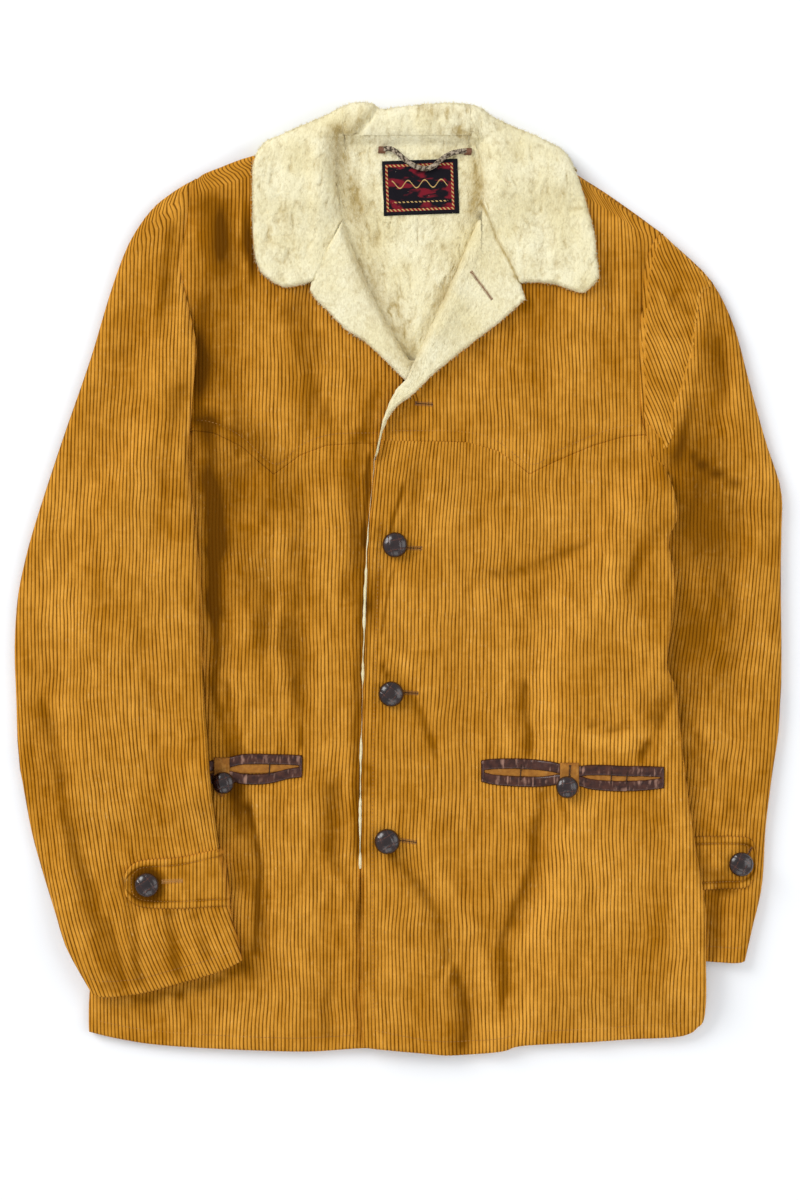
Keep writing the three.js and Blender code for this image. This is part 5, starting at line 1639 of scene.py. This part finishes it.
def hide(name, dark, middle, pale, grain_scale, roughness, coat):
    """Leather: fine grain, paler on its creases, partly from wear and partly as painted highlight."""
    material, tree, shader = plain_material(name)
    place = wire(tree, "TexCoord").outputs["Object"]
    pores = Level(tree, wire(tree, "TexVoronoi", {"Vector": place, "Scale": grain_scale}).outputs["Distance"])
    cloud = noise(tree, place, 190.0, 4.0)
    grain = noise(tree, place, grain_scale * 1.4, 3.0)
    base = blend_of(tree, cloud.spread(0.35, 0.68), dark, middle)
    wear_and_highlight_share = (read(tree, "wear_and_highlight") + grain * 0.4).spread(0.75, 1.35)
    feed(tree, shader, {
        "Base Color": blend_of(tree, wear_and_highlight_share, base, pale),
        "Normal": grained(tree, grain - pores * 0.6, 0.35, 0.0003),
        "Roughness": cloud * 0.22 + roughness,
        "Specular IOR Level": 0.25,
        "Coat Weight": coat,
        "Coat Roughness": 0.22,
    })
    return material


welt_leather = hide(
    "welt_leather", (0.030, 0.008, 0.005, 1), (0.078, 0.023, 0.012, 1), (0.32, 0.17, 0.12, 1),
    900.0, 0.28, 0.3,
)
tab_suede = hide(
    "tab_suede", (0.28, 0.105, 0.014, 1), (0.42, 0.175, 0.026, 1), (0.52, 0.25, 0.06, 1), 1500.0, 0.75, 0.0,
)


def settled(sheet_size, column, row, heights, rounds=10):
    """Heights of a piece lying on an uneven surface, bridging its hollows."""
    held = np.zeros(sheet_size)
    held[row, column] = heights
    lying = held.copy()
    for _ in range(rounds):
        wide = np.pad(lying, 1, mode="edge")
        mean = (wide[:-2, 1:-1] + wide[2:, 1:-1] + wide[1:-1, :-2] + wide[1:-1, 2:] + 2 * lying) / 6
        lying = np.maximum(held, mean)
    return lying[row, column]


def patch_on(surface, x_at, y_at, columns, rows, thick, rim, crinkle=0.0, seed=0):
    """A flat piece in a bmesh on what is under it, from shares to places."""
    sheet, column, row = grid_of(columns, rows)
    u, v = column / columns, row / rows
    x, y = x_at(u, v), y_at(u, v)
    lying = settled((rows + 1, columns + 1), column, row, surface(x, y))
    wide = np.hypot(x_at(1.0, 0.5) - x_at(0.0, 0.5), y_at(1.0, 0.5) - y_at(0.0, 0.5))
    deep = np.hypot(x_at(0.5, 1.0) - x_at(0.5, 0.0), y_at(0.5, 1.0) - y_at(0.5, 0.0))
    depth = np.minimum(np.minimum(u, 1 - u) * wide, np.minimum(v, 1 - v) * deep)
    high = lying + 0.15 + thick - rim_drop(depth, rim, thick)
    ripple = np.abs(drift(x, y * 0.2, 1.9, seed)) - 0.3 + 0.3 * drift(x, y * 0.4, 1.1, seed + 4)
    ripple = crinkle * ripple * ramp(depth, 0, 1.2)
    high += ripple + 0.35 * crinkle * drift(x, y, 5, seed + 1)
    # Paler on the raised creases: partly wear, partly painted highlight on their ridges.
    wear_and_highlight = 0.40 + 1.7 * ripple + 0.3 * drift(x, y * 0.4, 4.2, seed + 2)
    place_points(sheet, np.column_stack([x, y, high]), {
        "wear_and_highlight": wear_and_highlight, "wale": x / wale_pitch, "along": y, "painted_light_and_tone": 0.3 * drift(x, y, 12, seed + 3),
    })
    return sheet


def kept(name, sheet, material, node, cut, thickness=0.5):
    """Finishes a small sheet: its object, wall, body and node; its cut in mm is worked out but not used."""
    piece = cloth_piece(name, sheet, material, node, thickness)
    cut[0] * MM
    cut[1] * MM
    return piece


pocket_pieces = {}
for side, front in (("left", left_front), ("right", right_front)):
    rows = flowing(pocket_lines[side], 6)
    first, last = rows[0, 0], rows[-1, 0]
    span = last - first
    middle = (rows[:, 1] + rows[:, 2]) / 2
    on_front = surface_of(front)
    mouth = patch_on(
        on_front, lambda u, v: first + 2 + (span - 4) * u,
        lambda u, v: np.interp(first + span * u, rows[:, 0], middle) + mouth_width * (v - 0.5),
        90, 6, 0.3, 0.5, 0.3, 201,
    )
    made = [kept(f"pocket_mouth_{side}", mouth, tab_suede, None, (160, 10))]
    for column, label in ((1, "upper"), (2, "lower")):
        centre = rows[:, column] - 0.5
        parts = [patch_on(
            on_front, lambda u, v: first + span * u,
            lambda u, v: np.interp(first + span * u, rows[:, 0], centre) + welt_width * (v - 0.5),
            130, 9, welt_thick, 1.6, 0.55, 211 + column,
        )]
        for end in (first + 1.6, last - 1.6) if label == "upper" else ():
            top, foot = [np.interp(end, rows[:, 0], rows[:, line]) for line in (1, 2)]
            parts.append(patch_on(
                on_front, lambda u, v: end + end_width * (u - 0.5),
                lambda u, v: foot - end_width + (top - foot + 2 * end_width) * v,
                4, 16, welt_thick + 0.25, 1.4, 0.3, 221,
            ))
        name, node = f"welt_{side}_{label}", f"pocket_{side}_welt_{label}"
        made.append(kept(name, joined(parts), welt_leather, node, (164, 10)))
    left_edge, right_edge, tab_top, tab_bottom = pocket_tabs[side]
    tab = patch_on(
        surface_of(front, *made), lambda u, v: left_edge + (right_edge - left_edge) * u,
        lambda u, v: (tab_bottom + 7 * np.abs(2 * u - 1)) * (1 - v) + tab_top * v,
        18, 30, 1.2, 1.2, 0.25, 231,
    )
    cut = (right_edge - left_edge, tab_top - tab_bottom)
    made.append(kept(f"pocket_tab_{side}", tab, tab_suede, f"pocket_{side}_tab", cut))
    pocket_pieces[side] = made


# Cuff tabs: corduroy straps set into the sleeve seam, with one rounded end that
# is buttoned down, and a row of topstitching all round.

cuff_tabs = {
    "right": {
        "upper": [(-247.5, -269), (-244, -259), (-232, -251.5), (-199, -248.5), (-167, -242), (-158, -240.5)],
        "lower": [(-247.5, -276), (-244, -286), (-231, -293.5), (-199, -295), (-163, -293), (-152, -293.5)],
        "on": right_sleeve, "button": (-226.5, -273), "stain": 2.2, "cut": (92, 48),
    },
    "left": {
        "upper": [(262, -231), (286, -230.5), (308, -231), (317, -234), (320.5, -243)],
        "lower": [(270, -279.5), (292, -278.5), (310, -277.5), (317.5, -271), (320.5, -262)],
        "on": left_sleeve, "button": (306.5, -255.5), "stain": None, "cut": (55, 48),
    },
}
tab_thick = 2.3
tab_columns, tab_rows = 110, 40
seam_depth, seam_pull = 6.8, 0.75


def point_on(line, u):
    """The places on a line at shares of its length."""
    run = lengths_of(line)
    return [np.interp(u * run[-1], run, line[:, axis]) for axis in (0, 1)]


tab_pieces = {}
for side, tab in cuff_tabs.items():
    sheet, column, row = grid_of(tab_columns, tab_rows)
    u, v = column / tab_columns, row / tab_rows
    (ux, uy), (lx, ly) = point_on(flowing(tab["upper"], 8), u), point_on(flowing(tab["lower"], 8), u)
    x, y = lx + (ux - lx) * v, ly + (uy - ly) * v
    lying = settled((tab_rows + 1, tab_columns + 1), column, row, surface_of(tab["on"])(x, y), 30)
    rounded = u if side == "right" else 1 - u
    depth = np.minimum(np.minimum(v, 1 - v) * np.hypot(ux - lx, uy - ly), rounded * 90 + 0.2 * (rounded > 0))
    sewn = seam_pull * np.exp(-(((depth - seam_depth) / 1.2) ** 2))
    off_button = np.hypot(x - tab["button"][0], y - tab["button"][1])
    stain = tab["stain"] * np.exp(-((off_button / 16) ** 4)) if tab["stain"] else 0.35
    high = lying + 0.3 + tab_thick - rim_drop(depth, 2.4, tab_thick) - sewn
    high += wale_height(x / wale_pitch) * 0.9 + 0.45 * drift(x, y, 11, 241) + 0.3 * drift(x, y, 5, 242)
    # Painted shade in the stitched channel; the right strap has a dark stain round its button, the left one
    # is evenly darker.
    place_points(sheet, np.column_stack([x, y, high]), {
        "wale": x / wale_pitch, "along": y, "painted_light_and_tone": 0.45 * drift(x, y, 12, 243) - 0.9 * sewn + 0.15 - stain,
    })
    tab_pieces[side] = kept(
        f"cuff_strap_{side}", sheet, corduroy, f"cuff_tab_{side}", tab["cut"],
        1.0,
    )


# Buttons: domes covered in plaited brown leather straps, each sewn on through a
# short shank. They have a soft shine and worn spots where the straps cross.

button_leather = hide(
    "button_leather", (0.009, 0.003, 0.003, 1), (0.022, 0.007, 0.006, 1), (0.16, 0.045, 0.022, 1),
    700.0, 0.14, 0.9,
)
button_steps = 80
strap_share, strap_relief = 0.78, 0.045
buttons = [
    # node, x, y, diameter, height, turn of the plait, what it sits on
    ("front_button_1", -4.5, 31.5, 23, 10, 0.2, [left_front]),
    ("front_button_2", -8, -102.5, 23, 10, 0.9, [left_front]),
    ("front_button_3", -11.5, -235, 23, 10, 0.5, [left_front]),
    ("pocket_left_button", 149.5, -185.5, 20, 9, 0.1, [left_front, *pocket_pieces["left"]]),
    ("pocket_right_button", -159, -182.5, 20, 9, 0.3, [right_front, *pocket_pieces["right"]]),
    ("cuff_button_right", -226.5, -273, 22, 9, 0.6, [right_sleeve, tab_pieces["right"]]),
    ("cuff_button_left", 306.5, -255.5, 22, 9, 1.1, [left_sleeve, tab_pieces["left"]]),
]


def button_profile(radius, height):
    """From the foot of the shank out to the rim and over the dome."""
    rows = [(0.01, 0), (3.5, 0), (3.6, 1.0), (radius * 0.8, 1.5), (radius * 0.97, height * 0.32)]
    for step in range(1, 25):
        turn = math.radians(90) * step / 24
        rows.append((radius * math.cos(turn), height * (0.36 + 0.64 * math.sin(turn) ** 0.92)))
    return rows


for node, x, y, diameter, height, plait_turn, under in buttons:
    radius = diameter / 2
    below = surface_of(*under)
    around = np.linspace(0, 2 * np.pi, 16, endpoint=False)
    rim_high = below(x + radius * 0.9 * np.cos(around), y + radius * 0.9 * np.sin(around)).max()
    shank_high = below(x + 3 * np.cos(around), y + 3 * np.sin(around)).max()
    seat = max(shank_high, rim_high - 1.2) + 0.1
    dome = bmesh.new()
    outline = [dome.verts.new((r * MM, 0, z * MM)) for r, z in button_profile(radius, height)]
    edges = [dome.edges.new(pair) for pair in zip(outline, outline[1:])]
    bmesh.ops.spin(
        dome, geom=[*outline, *edges], cent=(0, 0, 0), axis=(0, 0, 1), angle=2 * math.pi,
        steps=button_steps, use_merge=True,
    )
    bmesh.ops.remove_doubles(dome, verts=dome.verts, dist=3e-5)
    bmesh.ops.recalc_face_normals(dome, faces=dome.faces)
    worn_layer = dome.verts.layers.float.new("wear_and_highlight")
    cell = radius * strap_share
    for vertex in dome.verts:
        px, py = vertex.co.x / MM, vertex.co.y / MM
        up = vertex.co.z / MM / height
        u = px * math.cos(plait_turn) + py * math.sin(plait_turn)
        v = py * math.cos(plait_turn) - px * math.sin(plait_turn)
        i, j = math.floor(u / cell + 0.5), math.floor(v / cell + 0.5)
        in_u, in_v = u / cell - i, v / cell - j
        over = in_v if (i + j) % 2 == 0 else in_u
        strap = 1 - (2 * over) ** 2
        relief = (0.62 * strap - 0.34) * min(1, max(0, (up - 0.35) * 3))
        vertex.co *= 1 + relief * strap_relief
        vertex[worn_layer] = 0.15 + 0.12 * strap + 0.85 * math.exp(-((strap / 0.28) ** 2)) * (up > 0.4)
    bmesh.ops.translate(dome, vec=(x * MM, y * MM, seat * MM), verts=dome.verts)
    fixed(shown(f"leather_{node}", dome, button_leather), node)


# Topstitching and buttonholes in tan thread: along the yokes, the front edge,
# the hems, the cuffs and round the tabs, and close bars round each buttonhole.

stitch_length = 2.3
stitch_pitch = 3.3
thread_width = 0.62
hole_pitch = 0.95


def threads(name, colours, roughness):
    """Sewing thread with fine twisted fibres."""
    material, tree, shader = plain_material(name)
    place = wire(tree, "TexCoord").outputs["Object"]
    twist, shade = noise(tree, place, 1500.0, 3.0), noise(tree, place, 70.0, 2.0)
    feed(tree, shader, {
        "Base Color": blend_of(tree, (twist * 0.5 + shade * 0.5).spread(0.35, 0.65), *colours),
        "Normal": grained(tree, twist, 0.5, 0.0002),
        "Roughness": roughness,
    })
    return material


tan_thread = threads("tan_thread", [(0.22, 0.085, 0.014, 1), (0.56, 0.27, 0.065, 1)], 0.6)
brown_thread = threads("brown_thread", [(0.10, 0.035, 0.012, 1), (0.30, 0.12, 0.035, 1)], 0.55)
# Near-black thread: the pocket ties and some stitches, and painted shade inside buttonhole slits.
slit_dark = threads("slit_shadow", [(0.018, 0.007, 0.003, 1), (0.045, 0.016, 0.006, 1)], 0.9)


def sewn_rows(
    name, rows, surface, material, length=stitch_length, pitch=stitch_pitch, width=thread_width, sink=0.1,
):
    """Stitches in a joined mesh, following lines over a surface."""
    whole, bar = bmesh.new(), bmesh.new()
    bmesh.ops.create_icosphere(bar, subdivisions=1, radius=0.5)
    stitch = bpy.data.meshes.new("stitch")
    bar.to_mesh(stitch)
    bar.free()
    corners = np.array([vertex.co for vertex in stitch.vertices])
    along = corners[:, 0] * length
    for row in rows:
        row = np.asarray(row, dtype=float)
        run = lengths_of(row)
        at = np.arange(pitch / 2, run[-1], pitch)
        if len(at) == 0:
            continue
        behind, middle, ahead = [
            np.column_stack([np.interp(at + step, run, row[:, axis]) for axis in (0, 1)])
            for step in (-0.5, 0, 0.5)
        ]
        heading = ahead - behind
        heading /= np.linalg.norm(heading, axis=1)[:, None]
        high = surface(middle[:, 0], middle[:, 1])
        rise = surface(*(middle + heading * length / 2).T) - surface(*(middle - heading * length / 2).T)
        keep = (high > 0.5) & (np.abs(rise) < length)
        for centre, way, z, slope in zip(middle[keep], heading[keep], high[keep], (rise / length)[keep]):
            points = np.column_stack([
                centre[0] + way[0] * along - way[1] * corners[:, 1] * width,
                centre[1] + way[1] * along + way[0] * corners[:, 1] * width,
                z - sink + slope * along + corners[:, 2] * width,
            ])
            for vertex, point in zip(stitch.vertices, points * MM):
                vertex.co = point
            whole.from_mesh(stitch)
    bpy.data.meshes.remove(stitch)
    return fixed(shown(name, whole, material), None)


def between(line, low, high, axis=0):
    """The stretch of a line between two places."""
    line = np.asarray(line, dtype=float)
    return line[(line[:, axis] > low) & (line[:, axis] < high)]


fronts_surface = surface_of(left_front, right_front, left_yoke, right_yoke)
sewn_rows("topstitch_fronts", [
    between(seams["right_yoke"], -186, -20), between(seams["left_yoke"], -12, 219),
    between(seams["right_hem"], -274, -40), between(seams["left_hem"], -26, 262), seams["left_edge"],
], fronts_surface, tan_thread)
sleeve_surface = surface_of(right_sleeve, left_sleeve)
sewn_rows("topstitch_cuffs", [
    flowing(np.array(right_cuff_end) + (0, 14))[3:-3], flowing(np.array(left_cuff_end) + (0, 14))[3:-3],
], sleeve_surface, tan_thread)


def tab_seam(side, inset):
    """The line of stitches inside the edge of a cuff tab."""
    upper, lower = flowing(cuff_tabs[side]["upper"], 8), flowing(cuff_tabs[side]["lower"], 8)
    ring = np.vstack([upper, lower[::-1]]) if side == "left" else np.vstack([upper[::-1], lower])
    heading = np.gradient(ring, axis=0)
    heading /= np.linalg.norm(heading, axis=1)[:, None]
    aside = np.column_stack([heading[:, 1], -heading[:, 0]]) * (1 if side == "left" else -1)
    moved = ring + aside * inset
    centre = ring.mean(axis=0)
    return moved if np.linalg.norm(moved - centre) < np.linalg.norm(ring - centre) else ring - aside * inset


for side in ("right", "left"):
    seam_line, on_strap = [tab_seam(side, seam_depth)], surface_of(tab_pieces[side])
    sewn_rows(f"topstitch_strap_{side}", seam_line, on_strap, tan_thread, length=2.0, pitch=2.9)


def buttonhole(name, start, end, surface, thread, spread, inside):
    """A slit with close stitches across it on both sides and a bar at each end."""
    start, end = np.array(start, dtype=float), np.array(end, dtype=float)
    way = (end - start) / np.linalg.norm(end - start)
    side = np.array([-way[1], way[0]])
    rows = []
    for edge in (-1, 1):
        for step in np.arange(0, np.linalg.norm(end - start), hole_pitch):
            near = start + way * step + side * edge * 0.35
            rows.append([near, near + side * edge * spread])
    for bar in (start, end):
        for step in (-0.4, 0.4):
            rows.append([bar + way * step - side * spread, bar + way * step + side * spread])
    sewn_rows(name, rows, surface, thread, length=spread * 1.05, pitch=spread, sink=0.05)
    # The slit: a strip of thread along the cut, which in dark thread paints the shade in the opening.
    sewn_rows(f"{name}_slit", [[start, end]], surface, inside, length=2.1, pitch=1.2, width=1.3, sink=0.3)


left_surface = surface_of(left_front, left_yoke)
on_lapel, on_tab = surface_of(left_lapel), surface_of(*pocket_pieces["left"])
on_right_strap, on_left_strap = surface_of(tab_pieces["right"]), surface_of(tab_pieces["left"], left_sleeve)
buttonholes = [
    # name, start, end, what it is cut in, thread, spread of the stitches, thread inside
    ("1", (5, 29), (19.5, 28.5), left_surface, brown_thread, 1.9, slit_dark),
    ("2", (2, -101), (16, -102), left_surface, brown_thread, 1.9, slit_dark),
    ("3", (-1, -234), (14.5, -236), left_surface, brown_thread, 1.9, slit_dark),
    ("4", (14, 159), (29, 158), left_surface, brown_thread, 1.9, slit_dark),
    ("lapel", (64, 277), (82.5, 252.5), on_lapel, brown_thread, 1.3, brown_thread),
    ("tab_left", (152.5, -166.5), (152, -176), on_tab, slit_dark, 1.0, slit_dark),
    ("cuff_right", (-213, -270.5), (-195, -269.5), on_right_strap, tan_thread, 1.9, tan_thread),
    ("cuff_left", (313, -247), (317, -241), on_left_strap, brown_thread, 1.0, slit_dark),
]
for name, *row in buttonholes:
    buttonhole(f"buttonhole_{name}", *row)
tie_rows = []
for side, ties in mouth_ties.items():
    rows = flowing(pocket_lines[side])
    for x, reach in ties:
        centre = float(np.interp(x, rows[:, 0], (rows[:, 1] + rows[:, 2]) / 2))
        tie_rows.append([(x, centre - reach), (x + 0.8, centre + reach)])
tie_surface = surface_of(*pocket_pieces["left"], *pocket_pieces["right"], left_front, right_front)
sewn_rows("pocket_ties", tie_rows, tie_surface, slit_dark, length=3.4, pitch=2.2, width=1.2, sink=-0.3)


# Label: a woven ribbon sewn to the lining below the neck, dark red and black,
# with a dotted border of gold and red and a wavy vine. It bears no words.

label_width, label_height = 68.0, 49.0
label_x, label_y, label_tilt = 18.6, 353.5, math.radians(2.1)
label_steps = (60, 44)
ribbon_black, ribbon_red = (0.006, 0.0045, 0.008, 1), (0.19, 0.008, 0.018, 1)
rim_black, dot_red, dot_gold = (0.006, 0.0055, 0.009, 1), (0.26, 0.012, 0.014, 1), (0.55, 0.36, 0.13, 1)

sheet, column, row = grid_of(*label_steps)
u, v = column / label_steps[0], row / label_steps[1]
flat_x, flat_y = (u - 0.5) * label_width, (v - 0.5) * label_height
x = label_x + flat_x * math.cos(label_tilt) - flat_y * math.sin(label_tilt)
y = label_y + flat_x * math.sin(label_tilt) + flat_y * math.cos(label_tilt)
lying = settled((label_steps[1] + 1, label_steps[0] + 1), column, row, surface_of(lining)(x, y), 60)
edge = np.minimum(np.minimum(u, 1 - u) * label_width, np.minimum(v, 1 - v) * label_height)
curl = 0.9 * drift(x, y, 19, 261) * ramp(edge, 8, 0) + 0.35 * drift(x, y, 9, 262)
high = lying + 1.1 + curl - rim_drop(edge, 0.8, 0.5)
place_points(sheet, np.column_stack([x, y, high]), {"label_u": flat_x, "label_v": flat_y})

ribbon, tree, shader = plain_material("woven_ribbon")
across_label, up_label = read(tree, "label_u"), read(tree, "label_v")
label_place = wire(tree, "CombineXYZ", {"X": across_label, "Y": up_label}).outputs[0]
cloud_place = wire(tree, "Mapping", {"Vector": label_place, "Scale": (0.055, 0.13, 1)}).outputs[0]
clouds = noise(tree, cloud_place, 1.0, 3.0, Distortion=0.4)
weave = (up_label * 7.5).by("SINE") * (across_label * 9.0).by("SINE")
off_edge = (label_width / 2 - abs(across_label + 0.8)).by("MINIMUM", label_height / 2 - abs(up_label))
in_band = off_edge.by("COMPARE", 4.6, 1.0)
inside = off_edge.by("GREATER_THAN", 9.0)
dots = ((across_label + up_label) * 0.27).by("FRACT")
vine = (across_label * 0.42).by("SINE") * 3.4 + 3.0
on_vine = (up_label - vine).by("COMPARE", 0.0, 0.55) * inside
bead = up_label.by("COMPARE", -13.0, 0.6) * dots.by("LESS_THAN", 0.5) * inside
gold = (in_band * dots.by("LESS_THAN", 0.42)).by("MAXIMUM", on_vine.by("MAXIMUM", bead))
ribbon_colour = blend_of(tree, clouds.spread(0.50, 0.58), ribbon_black, ribbon_red)
in_red = in_band * dots.by("GREATER_THAN", 0.42)
for where, colour in ((off_edge.by("LESS_THAN", 3.2), rim_black), (in_red, dot_red), (gold, dot_gold)):
    ribbon_colour = blend_of(tree, where, ribbon_colour, colour)
feed(tree, shader, {
    "Base Color": ribbon_colour,
    "Normal": grained(tree, weave, 0.35, 0.0002),
    "Roughness": 0.55,
    "Specular IOR Level": 0.1,
})
kept("neck_ribbon", sheet, ribbon, "neck_label", (68, 49), 0.4)
